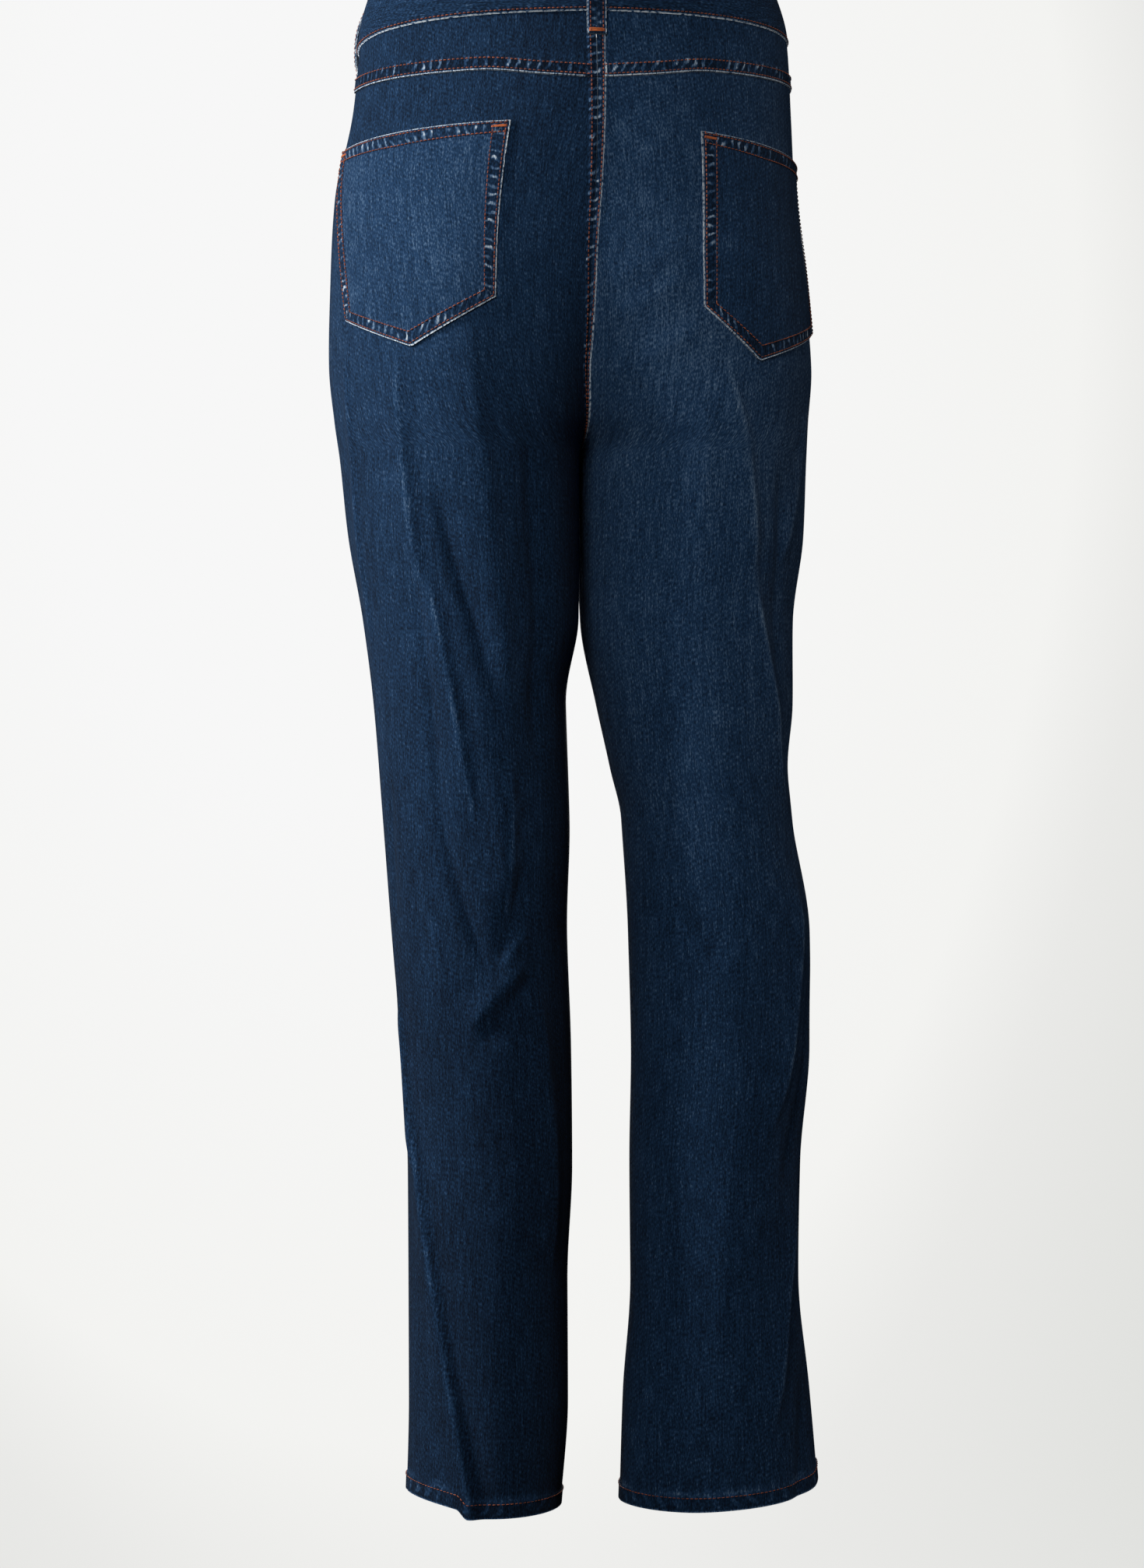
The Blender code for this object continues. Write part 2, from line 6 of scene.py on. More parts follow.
import bmesh
import bpy
import numpy as np
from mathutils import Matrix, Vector


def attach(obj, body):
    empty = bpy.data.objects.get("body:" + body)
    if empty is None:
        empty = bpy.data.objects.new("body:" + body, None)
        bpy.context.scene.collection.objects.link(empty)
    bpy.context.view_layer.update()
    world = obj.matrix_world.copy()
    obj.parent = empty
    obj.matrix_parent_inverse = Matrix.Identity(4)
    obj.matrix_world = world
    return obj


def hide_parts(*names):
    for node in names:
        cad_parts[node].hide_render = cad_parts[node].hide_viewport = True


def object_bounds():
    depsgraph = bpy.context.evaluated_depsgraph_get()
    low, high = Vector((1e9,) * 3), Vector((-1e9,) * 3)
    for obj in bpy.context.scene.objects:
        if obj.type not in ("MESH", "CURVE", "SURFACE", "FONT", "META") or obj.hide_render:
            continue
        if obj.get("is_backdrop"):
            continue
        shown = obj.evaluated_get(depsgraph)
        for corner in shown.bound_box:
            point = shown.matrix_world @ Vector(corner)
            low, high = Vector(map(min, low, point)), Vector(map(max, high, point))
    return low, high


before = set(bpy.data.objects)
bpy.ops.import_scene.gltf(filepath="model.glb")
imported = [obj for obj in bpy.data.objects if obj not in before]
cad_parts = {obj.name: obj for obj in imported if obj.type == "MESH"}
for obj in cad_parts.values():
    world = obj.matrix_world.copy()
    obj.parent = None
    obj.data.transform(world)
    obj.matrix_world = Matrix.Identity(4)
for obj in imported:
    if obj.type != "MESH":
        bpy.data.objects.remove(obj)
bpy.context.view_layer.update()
scene = bpy.context.scene

# Leg panels: two backs and two fronts of 12 oz stretch denim, cut with the warp down the leg,
# joined at the side seams, inseams and seat, and turned up at the hem. All the garment's
# pieces lie on one surface, which rings from waist to hem give.
DENIM_WALL = 0.0013
SEAM_GAP = 0.0003
HALF_GAP = SEAM_GAP / 2
LEAN = 0.0045
CROTCH = -0.325
HEM_HEIGHT = 0.011
FELLED_HALF = 0.0052
SIDES = {1: "left", -1: "right"}

TORSO_COLUMNS = (
    "height", "reach_left", "reach_right", "split", "centre_y", "back", "front",
    "hollow_back", "hollow_front", "seam_shift",
)
TORSO = (
    (0.030, 0.134, 0.140, 0.00, 0.000, 0.080, 0.098, 0.00, 0.00, 0.000),
    (-0.020, 0.151, 0.156, 0.02, 0.000, 0.085, 0.105, 0.00, 0.00, 0.000),
    (-0.080, 0.157, 0.160, 0.15, -0.006, 0.108, 0.110, 0.10, 0.05, 0.002),
    (-0.140, 0.168, 0.163, 0.40, -0.012, 0.125, 0.112, 0.20, 0.15, 0.005),
    (-0.200, 0.172, 0.167, 0.65, -0.005, 0.130, 0.112, 0.30, 0.35, 0.009),
    (-0.260, 0.174, 0.170, 0.83, 0.003, 0.125, 0.108, 0.60, 0.60, 0.008),
    (-0.300, 0.171, 0.166, 0.92, 0.010, 0.117, 0.103, 0.85, 0.85, 0.003),
    (CROTCH, 0.168, 0.164, 1.00, 0.014, 0.111, 0.098, 1.00, 1.00, 0.000),
)
LEG_COLUMNS = ("height", "centre_x", "half_width", "centre_y", "back", "front")
LEFT_LEG = (
    (-0.380, 0.082, 0.081, 0.020, 0.101, 0.088),
    (-0.440, 0.078, 0.0755, 0.027, 0.093, 0.081),
    (-0.500, 0.080, 0.067, 0.035, 0.086, 0.075),
    (-0.580, 0.077, 0.065, 0.045, 0.077, 0.070),
    (-0.660, 0.076, 0.061, 0.053, 0.069, 0.066),
    (-0.740, 0.072, 0.059, 0.058, 0.064, 0.064),
    (-0.820, 0.070, 0.057, 0.062, 0.063, 0.062),
    (-0.900, 0.072, 0.055, 0.065, 0.063, 0.062),
    (-0.980, 0.072, 0.055, 0.067, 0.063, 0.062),
    (-1.060, 0.076, 0.053, 0.068, 0.063, 0.062),
)
RIGHT_LEG = (
    (-0.380, 0.081, 0.080, 0.020, 0.101, 0.088),
    (-0.440, 0.077, 0.075, 0.027, 0.093, 0.081),
    (-0.500, 0.081, 0.069, 0.035, 0.086, 0.075),
    (-0.545, 0.083, 0.062, 0.041, 0.081, 0.072),
    (-0.580, 0.088, 0.060, 0.045, 0.077, 0.070),
    (-0.660, 0.095, 0.064, 0.053, 0.069, 0.066),
    (-0.740, 0.095, 0.063, 0.058, 0.064, 0.064),
    (-0.820, 0.090, 0.060, 0.062, 0.062, 0.061),
    (-0.900, 0.089, 0.059, 0.065, 0.060, 0.059),
    (-0.980, 0.090, 0.066, 0.067, 0.056, 0.056),
    (-1.060, 0.092, 0.071, 0.068, 0.053, 0.053),
)

# Seam lines: height at a place round one side, 0 at the centre back or inseam, 0.5 at the
# side seam, 1 at the centre front or inseam
WAIST_SEAM = ((0.0, -0.0195), (0.20, -0.0215), (0.35, -0.025), (0.5, -0.031), (0.75, -0.040), (1.0, -0.045))
YOKE_SEAM = ((0.0, -0.0685), (0.08, -0.066), (0.18, -0.0615), (0.33, -0.0615), (0.5, -0.0625))
LEFT_HEM = (
    (0.0, -1.052), (0.20, -1.0535), (0.31, -1.054), (0.335, -1.0475),
    (0.5, -1.043), (0.75, -1.045), (1.0, -1.052),
)
RIGHT_HEM = (
    (0.0, -1.055), (0.17, -1.057), (0.263, -1.055), (0.42, -1.047),
    (0.5, -1.040), (0.75, -1.045), (1.0, -1.055),
)
SCOOP_WIDTH = 0.19
SCOOP_DEPTH = 0.075

# Creases: ridges are positive, valleys negative. Each runs from top to low, bowed outwards in
# its middle, fades at both ends, and has one width towards the inseam and one away from it. A
# ridge with a flank as narrow as SHARP also has a pale line, part rubbed wear and part painted
# highlight.
SHARP = 0.0065
CREASE_COLUMNS = ("side", "round_top", "top", "round_low", "low", "bow", "height", "inner", "outer")
CREASES = (
    # Left back: long creases from the pocket to the knee, and the lit wedge between them
    (1, 0.4265, -0.235, 0.479, -0.480, 0.000, 0.0022, 0.0040, 0.0060),
    (1, 0.320, -0.250, 0.338, -0.440, 0.0065, 0.0042, 0.0055, 0.0120),
    (1, 0.342, -0.400, 0.280, -0.590, 0.0015, 0.0044, 0.0055, 0.0120),
    (1, 0.322, -0.335, 0.205, -0.545, 0.007, -0.0048, 0.0130, 0.0060),
    (1, 0.205, -0.235, 0.222, -0.560, 0.000, 0.0052, 0.0070, 0.0220),
    (1, 0.150, -0.290, 0.170, -0.560, 0.000, -0.0045, 0.0130, 0.0120),
    (1, 0.362, -0.400, 0.342, -0.600, 0.000, -0.0026, 0.0060, 0.0050),
    (1, 0.352, -0.565, 0.262, -0.690, 0.003, -0.0040, 0.0090, 0.0060),
    (1, 0.280, -0.490, 0.222, -0.640, 0.000, 0.0022, 0.0120, 0.0120),
    (1, 0.225, -0.530, 0.235, -0.655, -0.003, 0.0042, 0.0060, 0.0140),
    (1, 0.188, -0.600, 0.255, -0.688, 0.000, -0.0032, 0.0080, 0.0070),
    # Left back: the knee's cut with its bright lip, a short ridge and a nick
    (1, 0.190, -0.672, 0.316, -0.724, 0.000, 0.0042, 0.0045, 0.0080),
    (1, 0.168, -0.680, 0.302, -0.736, 0.000, -0.0026, 0.0080, 0.0035),
    (1, 0.185, -0.648, 0.250, -0.684, 0.000, 0.0026, 0.0040, 0.0060),
    (1, 0.280, -0.6945, 0.334, -0.6975, 0.000, -0.0014, 0.0022, 0.0022),
    # Left back: the calf's lit edge and the long crest down to the hem
    (1, 0.185, -0.670, 0.135, -0.900, -0.002, 0.0040, 0.0070, 0.0180),
    (1, 0.480, -0.690, 0.450, -0.830, 0.004, 0.0034, 0.0050, 0.0100),
    (1, 0.487, -0.740, 0.252, -1.160, 0.000, 0.0050, 0.0045, 0.0120),
    (1, 0.440, -0.800, 0.230, -1.150, 0.000, -0.0022, 0.0120, 0.0080),
    (1, 0.230, -0.760, 0.210, -0.900, 0.002, 0.0012, 0.0080, 0.0080),
    (1, 0.385, -0.620, 0.350, -0.705, -0.002, 0.0014, 0.0060, 0.0060),
    (1, 0.450, -0.545, 0.470, -0.660, 0.002, -0.0018, 0.0070, 0.0070),
    # Right back: soft drag marks from the seat seam up to the pocket's lower corner
    (-1, 0.165, -0.180, 0.020, -0.216, 0.000, 0.0011, 0.0080, 0.0080),
    (-1, 0.160, -0.205, 0.025, -0.240, 0.001, 0.0013, 0.0070, 0.0090),
    (-1, 0.190, -0.238, 0.040, -0.280, 0.000, 0.0012, 0.0070, 0.0080),
    # Right back: one long crest from the pocket to the knee, dark beyond it
    (-1, 0.205, -0.260, 0.305, -0.430, 0.008, 0.0040, 0.0140, 0.0050),
    (-1, 0.300, -0.395, 0.400, -0.590, 0.003, 0.0046, 0.0140, 0.0050),
    (-1, 0.335, -0.320, 0.375, -0.500, 0.000, -0.0028, 0.0060, 0.0110),
    (-1, 0.400, -0.275, 0.350, -0.420, 0.002, 0.0022, 0.0080, 0.0060),
    (-1, 0.185, -0.280, 0.215, -0.420, 0.002, 0.0012, 0.0090, 0.0090),
    (-1, 0.125, -0.635, 0.225, -0.682, 0.000, -0.0028, 0.0060, 0.0100),
    (-1, 0.180, -0.690, 0.260, -0.740, 0.003, 0.0014, 0.0070, 0.0070),
    # Right back: the calf's crests, with a deep shade outside them
    (-1, 0.385, -0.610, 0.310, -0.810, 0.006, 0.0044, 0.0120, 0.0045),
    (-1, 0.430, -0.680, 0.352, -0.850, 0.004, -0.0034, 0.0060, 0.0110),
    (-1, 0.415, -0.830, 0.305, -1.015, 0.004, 0.0044, 0.0120, 0.0045),
    (-1, 0.420, -0.950, 0.340, -1.120, 0.000, -0.0030, 0.0070, 0.0120),
    (-1, 0.240, -0.800, 0.225, -0.950, 0.002, 0.0012, 0.0080, 0.0080),
    (-1, 0.140, -0.860, 0.130, -1.000, 0.002, -0.0012, 0.0080, 0.0080),
    (-1, 0.455, -0.560, 0.430, -0.680, 0.002, -0.0014, 0.0060, 0.0060),
    # Fronts: whiskers from the crotch, then creases at the knee and shin
    (1, 0.700, -0.255, 0.930, -0.300, 0.000, 0.0028, 0.0060, 0.0090),
    (1, 0.930, -0.340, 0.680, -0.345, 0.000, -0.0025, 0.0080, 0.0080),
    (1, 0.800, -0.235, 0.950, -0.270, 0.001, 0.0016, 0.0040, 0.0060),
    (1, 0.740, -0.300, 0.940, -0.318, 0.001, 0.0016, 0.0050, 0.0070),
    (1, 0.760, -0.420, 0.730, -0.580, 0.002, 0.0020, 0.0060, 0.0110),
    (1, 0.620, -0.650, 0.860, -0.695, 0.000, -0.0032, 0.0080, 0.0050),
    (1, 0.850, -0.690, 0.640, -0.740, 0.000, 0.0034, 0.0050, 0.0090),
    (1, 0.700, -0.620, 0.820, -0.640, 0.000, 0.0016, 0.0050, 0.0060),
    (1, 0.680, -0.720, 0.800, -0.755, 0.000, -0.0016, 0.0050, 0.0060),
    (1, 0.720, -0.800, 0.700, -0.960, 0.002, 0.0020, 0.0060, 0.0110),
    (1, 0.600, -0.940, 0.860, -0.985, 0.000, -0.0030, 0.0100, 0.0070),
    (-1, 0.720, -0.250, 0.930, -0.305, 0.000, 0.0028, 0.0060, 0.0090),
    (-1, 0.660, -0.330, 0.930, -0.350, 0.000, -0.0025, 0.0080, 0.0080),
    (-1, 0.810, -0.225, 0.950, -0.275, 0.001, 0.0016, 0.0040, 0.0060),
    (-1, 0.760, -0.298, 0.940, -0.325, 0.001, 0.0016, 0.0050, 0.0070),
    (-1, 0.780, -0.430, 0.740, -0.570, 0.002, 0.0020, 0.0060, 0.0110),
    (-1, 0.820, -0.590, 0.660, -0.605, 0.000, -0.0018, 0.0050, 0.0070),
    (-1, 0.850, -0.640, 0.640, -0.670, 0.000, -0.0032, 0.0080, 0.0050),
    (-1, 0.620, -0.705, 0.860, -0.730, 0.000, 0.0034, 0.0050, 0.0090),
    (-1, 0.660, -0.745, 0.780, -0.765, 0.000, 0.0016, 0.0050, 0.0060),
    (-1, 0.740, -0.820, 0.700, -0.930, 0.002, 0.0020, 0.0060, 0.0110),
    (-1, 0.880, -0.960, 0.620, -1.005, 0.000, 0.0030, 0.0070, 0.0120),
)


def smooth(keys, values, at):
    """Monotone cubic through the keys: slopes are harmonic means, so it never overshoots."""
    gap = np.diff(keys)
    rise = np.diff(values) / gap
    slope = np.zeros_like(values)
    same = rise[:-1] * rise[1:] > 0
    slope[1:-1][same] = 2 / (1 / rise[:-1][same] + 1 / rise[1:][same])
    slope[0] = rise[0]
    slope[-1] = rise[-1]
    cell = np.clip(np.searchsorted(keys, at) - 1, 0, len(keys) - 2)
    h = gap[cell]
    t = (at - keys[cell]) / h
    return (
        values[cell] * (1 + 2 * t) * (1 - t) ** 2
        + slope[cell] * h * t * (1 - t) ** 2
        + values[cell + 1] * t * t * (3 - 2 * t)
        + slope[cell + 1] * h * t * t * (t - 1)
    )


def ease(t):
    """0 to 1 with level ends: three t squared less two t cubed."""
    t = np.clip(t, 0, 1)
    return t * t * (3 - 2 * t)


def mix(a, b, t):
    return a + (b - a) * t


def unit(vectors):
    return vectors / np.linalg.norm(vectors, axis=-1, keepdims=True)


def side_rings(side):
    """Ring sizes of one side from hem to waist, the lowest first."""
    torso = dict(zip(TORSO_COLUMNS, np.array(TORSO).T))
    leg = dict(zip(LEG_COLUMNS, np.array(LEFT_LEG if side > 0 else RIGHT_LEG).T))
    none = 0 * leg["height"]
    rings = {
        "height": (torso["height"], leg["height"]),
        "reach": (torso["reach_left" if side > 0 else "reach_right"], leg["centre_x"] + leg["half_width"]),
        "split": (torso["split"], leg["centre_x"] / leg["half_width"]),
        "seam_shift": (torso["seam_shift"], none),
        "hollow_back": (torso["hollow_back"], none + 1),
        "hollow_front": (torso["hollow_front"], none + 1),
    }
    for size in ("centre_y", "back", "front"):
        rings[size] = (torso[size], leg[size])
    return {size: np.concatenate(parts)[::-1] for size, parts in rings.items()}


RINGS = {side: side_rings(side) for side in SIDES}


def ring(side, z):
    """Sizes of the ring at height z, and the angle from its side seam to its inner edge."""
    table = RINGS[side]
    sizes = {size: smooth(table["height"], table[size], z) for size in table if size != "height"}
    sizes["half_width"] = sizes["reach"] / (1 + sizes["split"])
    sizes["widest"] = np.arccos(-np.minimum(sizes["split"], 1.0))
    return sizes


def bare_point(side, angle, z):
    """Point on the uncreased surface: angle 0 at the side seam, positive to the back. A ring is
    an ellipse round each leg, and the two run together above the crotch."""
    r = ring(side, z)
    x = HALF_GAP + r["half_width"] * (r["split"] + np.cos(angle))
    depth = np.where(angle > 0, r["back"], r["front"])
    hollow = np.where(angle > 0, r["hollow_back"], r["hollow_front"])
    bulge = np.sin(np.abs(angle))
    bulge = np.where(np.abs(angle) > np.pi / 2, 1 - (1 - bulge) * hollow, bulge)
    y = r["centre_y"] + depth * np.sign(angle) * bulge
    shift = r["seam_shift"] * np.sin(np.pi / 2 * np.clip(angle / r["widest"], 0, 1)) ** 3
    return np.stack([side * x + shift, y, z + 0 * angle], axis=-1)


def outward(side, angle, z):
    """Unit normal of the uncreased surface, from differences along the ring and up it."""
    step = 1e-4
    along = bare_point(side, angle + step, z) - bare_point(side, angle - step, z)
    up = bare_point(side, angle, z + step) - bare_point(side, angle, z - step)
    return unit(np.cross(along, up) * side)


def half_girth(side, z):
    """Length round one side's ring, from its inner back edge to its inner front edge."""
    r = ring(side, z)
    depth = (r["back"] + r["front"]) / 2
    return 2 * r["widest"] * np.sqrt((r["half_width"] ** 2 + depth ** 2) / 2)


def crease_lift(side, around, z, line=None):
    """Sum of the creases at a place: each falls off across its path, with a width to either
    side, as e to the minus distance over width to the power 1.5, and fades at its ends. With
    line, the sharp ridges alone, each as narrow as that."""
    lift = 0 * z
    girth = half_girth(side, z)
    x = (around - 0.5) * girth
    for crease in CREASES:
        c = dict(zip(CREASE_COLUMNS, crease))
        if c["side"] != side or (line and min(c["inner"], c["outer"]) > SHARP):
            continue
        start, stop = (np.array([c["round_top"], c["round_low"]]) - 0.5) * half_girth(
            side, np.array([c["top"], c["low"]])
        )
        run = np.array([stop - start, c["low"] - c["top"]])
        length = np.hypot(run[0], run[1])
        t = ((x - start) * run[0] + (z - c["top"]) * run[1]) / length ** 2
        across = ((x - start) * run[1] - (z - c["top"]) * run[0]) / length
        across = across + c["bow"] * 4 * t * (1 - t)
        fade = ease(t / 0.25) * ease((1 - t) / 0.25)
        width = line or np.where(across > 0, c["inner"], c["outer"])
        height = max(c["height"], 0) if line else c["height"]
        lift = lift + height * np.exp(-(np.abs(across / width) ** 1.5)) * fade
    return lift * ease(np.minimum(around, 1 - around) / 0.06)


def cloth_point(side, around, z, lift):
    """Point of the garment at a place round one side and a height, lift out of the cloth's
    face. No point crosses the centre seam to the other side."""
    around, z, lift = np.broadcast_arrays(around, z, lift)
    sizes = ring(side, z)
    angle = sizes["widest"] * (1 - 2 * around)
    out = lift + crease_lift(side, around, z)
    point = bare_point(side, angle, z) + outward(side, angle, z) * out[..., None]
    seam = np.where(around < 0.5, sizes["seam_shift"], 0)
    point[..., 0] = seam + side * np.maximum(side * (point[..., 0] - seam), HALF_GAP * 0.6)
    return point


def line_height(line, around):
    keys, heights = np.array(line).T
    return smooth(keys, heights, around)


def seam_height(line, side, around):
    """Height of a seam line above the legs, where one side is lower and the other higher."""
    return line_height(line, around) - side * LEAN * np.sin(np.pi * around)


def hem_height(side, around):
    return line_height(LEFT_HEM if side > 0 else RIGHT_HEM, around)


def ring_faces(index):
    """Four-sided faces between neighbouring closed rings of point numbers."""
    low, high = index[..., :-1, :], index[..., 1:, :]
    return np.stack([low, np.roll(low, -1, -1), np.roll(high, -1, -1), high], -1).reshape(-1, 4)


def plain_mesh(name, points, faces):
    mesh = bpy.data.meshes.new(name)
    mesh.from_pydata(points.reshape(-1, 3).tolist(), [], faces.tolist())
    return mesh


def sheet_mesh(name, outer, inner, cloth, seam, fade, wear):
    """Closed cloth between a grid of outer points and one of inner points. It carries the place
    on the cut cloth in metres as a UV map, and as attributes the place along and across the
    nearest seam (seam_run, seam_away), how faded the cloth is, with the painted light and shade
    that some pieces put in it, and how worn its edge."""
    rows, columns = outer.shape[:2]
    index = np.arange(rows * columns).reshape(rows, columns)
    face = np.stack([index[:-1, :-1], index[1:, :-1], index[1:, 1:], index[:-1, 1:]], -1).reshape(-1, 4)
    rim = np.concatenate([index[0], index[1:, -1], index[-1, -2::-1], index[-2:0:-1, 0]])
    after = np.roll(rim, -1)
    count = rows * columns
    band = np.stack([rim, after, after + count, rim + count], -1)
    row, column = rows // 2, columns // 2
    a, b, c = outer[row, column], outer[row + 1, column], outer[row, column + 1]
    if np.dot(np.cross(b - a, c - a), a - inner[row, column]) < 0:
        face = face[:, ::-1]
        band = band[:, ::-1]
    faces = np.concatenate([face, face[:, ::-1] + count, band[:, ::-1]])
    mesh = bpy.data.meshes.new(name)
    points = np.concatenate([outer.reshape(-1, 3), inner.reshape(-1, 3)])
    mesh.vertices.add(len(points))
    mesh.vertices.foreach_set("co", points.astype(np.float32).ravel())
    mesh.loops.add(faces.size)
    mesh.loops.foreach_set("vertex_index", faces.astype(np.int32).ravel())
    mesh.polygons.add(len(faces))
    mesh.polygons.foreach_set("loop_start", np.arange(0, faces.size, 4, dtype=np.int32))
    mesh.update(calc_edges=True)
    uv = mesh.uv_layers.new(name="cut_cloth")
    uv.data.foreach_set("uv", np.tile(cloth.reshape(-1, 2), (2, 1))[faces.ravel()].astype(np.float32).ravel())
    values = {"seam_run": seam[0], "seam_away": seam[1], "fade": fade, "wear": wear}
    for word, value in values.items():
        held = mesh.attributes.new(word, "FLOAT", "POINT")
        value = np.broadcast_to(value, outer.shape[:2]).ravel()
        held.data.foreach_set("value", np.tile(value, 2).astype(np.float32))
    held = mesh.attributes.new("inside", "FLOAT", "POINT")
    held.data.foreach_set("value", np.repeat(np.array([0, 1], np.float32), count))
    mesh.shade_smooth()
    return mesh


def add_piece(name, mesh, material, slot, *nodes):
    """A finished piece: in the scene, riding on the garment, in place of its plain solids."""
    mesh.materials.append(material)
    piece = bpy.data.objects.new(name, mesh)
    scene.collection.objects.link(piece)
    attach(piece, "root")
    if nodes:
        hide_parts(*nodes)
    return piece


def linear(code):
    """sRGB hex to linear: below 0.04045 divided by 12.92, above it raised to 2.4."""
    c = np.array([int(code[i:i + 2], 16) for i in (1, 3, 5)]) / 255
    c = np.where(c <= 0.04045, c / 12.92, ((c + 0.055) / 1.055) ** 2.4)
    return (*c.tolist(), 1.0)


def node(tree, kind, inputs=None, stops=(), **settings):
    """Add one shader node. Settings are its own properties, inputs are values or another
    node's outputs by the input's name or number, and stops are positions and colours of a
    colour ramp."""
    made = tree.nodes.new(kind)
    for word, value in settings.items():
        setattr(made, word, value)
    for place, value in (inputs or {}).items():
        if isinstance(value, bpy.types.NodeSocket):
            tree.links.new(value, made.inputs[place])
        else:
            made.inputs[place].default_value = value
    for number, (position, code) in enumerate(stops):
        elements = made.color_ramp.elements
        stop = elements[number] if number < 2 else elements.new(position)
        stop.position = position
        stop.color = linear(code)
    return made.outputs


def blank_material(name):
    """A new material, its node tree and its shader."""
    material = bpy.data.materials.new(name)
    material.use_nodes = True
    return material, material.node_tree, material.node_tree.nodes["Principled BSDF"]


# Stretch denim: cotton warp dyed indigo on the outside of its threads, woven 3/1 over a pale
# weft. The eye sees fine vertical slubs, a salt and pepper of weft, dark turned margins with
# pale rubbed beads where they rope, and a nearly white thread's width on each edge.
def denim(name):
    """Level of fading from 0, unwashed, to 1, rubbed white, sent through one colour ramp. It is
    the piece's fade, with the painted light and shade that it carries, plus slubs, specks and
    wash, less a little in the turned margins, plus their beads and the rubbed edge."""
    material, tree, shader = blank_material(name)
    cloth = node(tree, "ShaderNodeUVMap", uv_map="cut_cloth")["UV"]
    fade, margin, run, away, inside = [
        node(tree, "ShaderNodeAttribute", attribute_name=word)["Fac"]
        for word in ("fade", "wear", "seam_run", "seam_away", "inside")
    ]
    # Slubs 1.3 mm across the warp and 16 mm long, bands 6 mm across and 90 mm long, specks of
    # weft, whose 0.6 mm floats are drawn 0.8 mm wide and 2.4 mm tall so that they show, and
    # wash clouds 50 mm wide
    noises = []
    for across, along, detail in ((770, 62, 2.0), (165, 11, 2.0), (1250, 420, 1.0), (21, 13, 3.0)):
        place = node(tree, "ShaderNodeMapping", {"Vector": cloth, "Scale": (across, along, 1)})["Vector"]
        noise = node(tree, "ShaderNodeTexNoise", {"Vector": place, "Scale": 1.0, "Detail": detail})
        noises.append(noise["Fac"])
    slub, band, speck, wash = noises
    # Twill at 63 degrees, its 0.8 mm lines drawn 1.6 mm apart
    turned = {"Vector": cloth, "Rotation": (0, 0, 1.1), "Scale": (100, 100, 1)}
    place = node(tree, "ShaderNodeMapping", turned)["Vector"]
    twill = node(tree, "ShaderNodeTexWave", {"Vector": place, "Scale": 1.0, "Distortion": 0.5})["Fac"]

    grain = -0.275
    for part, share in ((slub, 0.55), (band, 0.18), (speck, 0.85), (twill, 0.05)):
        grain = node(tree, "ShaderNodeMath", {0: part, 1: share, 2: grain}, operation="MULTIPLY_ADD")[0]
    grain = node(tree, "ShaderNodeMath", {0: grain, 1: 0.54}, operation="SUBTRACT")[0]
    level = node(tree, "ShaderNodeMath", {0: grain, 1: 0.90, 2: fade}, operation="MULTIPLY_ADD")[0]
    level = node(tree, "ShaderNodeMath", {0: wash, 1: 0.16, 2: level}, operation="MULTIPLY_ADD")[0]
    level = node(tree, "ShaderNodeMath", {0: level, 1: 0.08}, operation="SUBTRACT")[0]

    # Beads 6.5 mm apart along a seam, of uneven strength, widest in the middle of the margin
    drift = node(tree, "ShaderNodeCombineXYZ", {"X": run, "Y": away})["Vector"]
    uneven = node(tree, "ShaderNodeTexNoise", {"Vector": drift, "Scale": 95.0, "Detail": 2.0})["Fac"]
    turns = 0.0
    for part, share in ((run, 966.0), (uneven, 9.0), (away, 330.0)):
        turns = node(tree, "ShaderNodeMath", {0: part, 1: share, 2: turns}, operation="MULTIPLY_ADD")[0]
    bead = node(tree, "ShaderNodeMath", {0: turns}, operation="SINE")[0]
    middle, bead = [
        node(
            tree, "ShaderNodeMapRange", {"Value": value, "From Min": low, "From Max": high},
            interpolation_type="SMOOTHSTEP",
        )["Result"]
        for value, low, high in ((away, 0.0012, 0.0042), (bead, -0.1, 1.0))
    ]
    spread = {"Value": uneven, "From Min": 0.34, "From Max": 0.66}
    strength = node(tree, "ShaderNodeMapRange", spread)["Result"]
    pale = node(tree, "ShaderNodeMath", {0: bead, 1: middle}, operation="MULTIPLY")[0]
    pale = node(tree, "ShaderNodeMath", {0: pale, 1: strength}, operation="MULTIPLY")[0]
    pale = node(tree, "ShaderNodeMath", {0: pale, 1: 0.66, 2: -0.15}, operation="MULTIPLY_ADD")[0]
    level = node(tree, "ShaderNodeMath", {0: pale, 1: margin, 2: level}, operation="MULTIPLY_ADD")[0]

    # The rubbed edge: a pale line 0.9 mm wide, broken a little along its run
    rim, broken = [
        node(tree, "ShaderNodeMapRange", {"Value": value, "From Min": low, "From Max": high})["Result"]
        for value, low, high in ((away, 0.0014, 0.0004), (speck, 0.15, 0.50))
    ]
    for part in (broken, margin):
        rim = node(tree, "ShaderNodeMath", {0: rim, 1: part}, operation="MULTIPLY")[0]
    level = node(tree, "ShaderNodeMath", {0: rim, 1: 0.80, 2: level}, operation="MULTIPLY_ADD")[0]

    indigo = ((0.0, "#07111f"), (0.22, "#13273e"), (0.42, "#223f60"), (0.66, "#5c7590"), (1.0, "#d2dbe2"))
    face = node(tree, "ShaderNodeValToRGB", {"Fac": level}, indigo)["Color"]
    # The weft side: pale grey blue with indigo showing through
    weft = ((0.30, "#4a5b70"), (0.70, "#a9b4bf"))
    back = node(tree, "ShaderNodeValToRGB", {"Fac": speck}, weft)["Color"]
    colour = node(tree, "ShaderNodeMix", {0: inside, 6: face, 7: back}, data_type="RGBA")[2]
    tree.links.new(colour, shader.inputs["Base Color"])

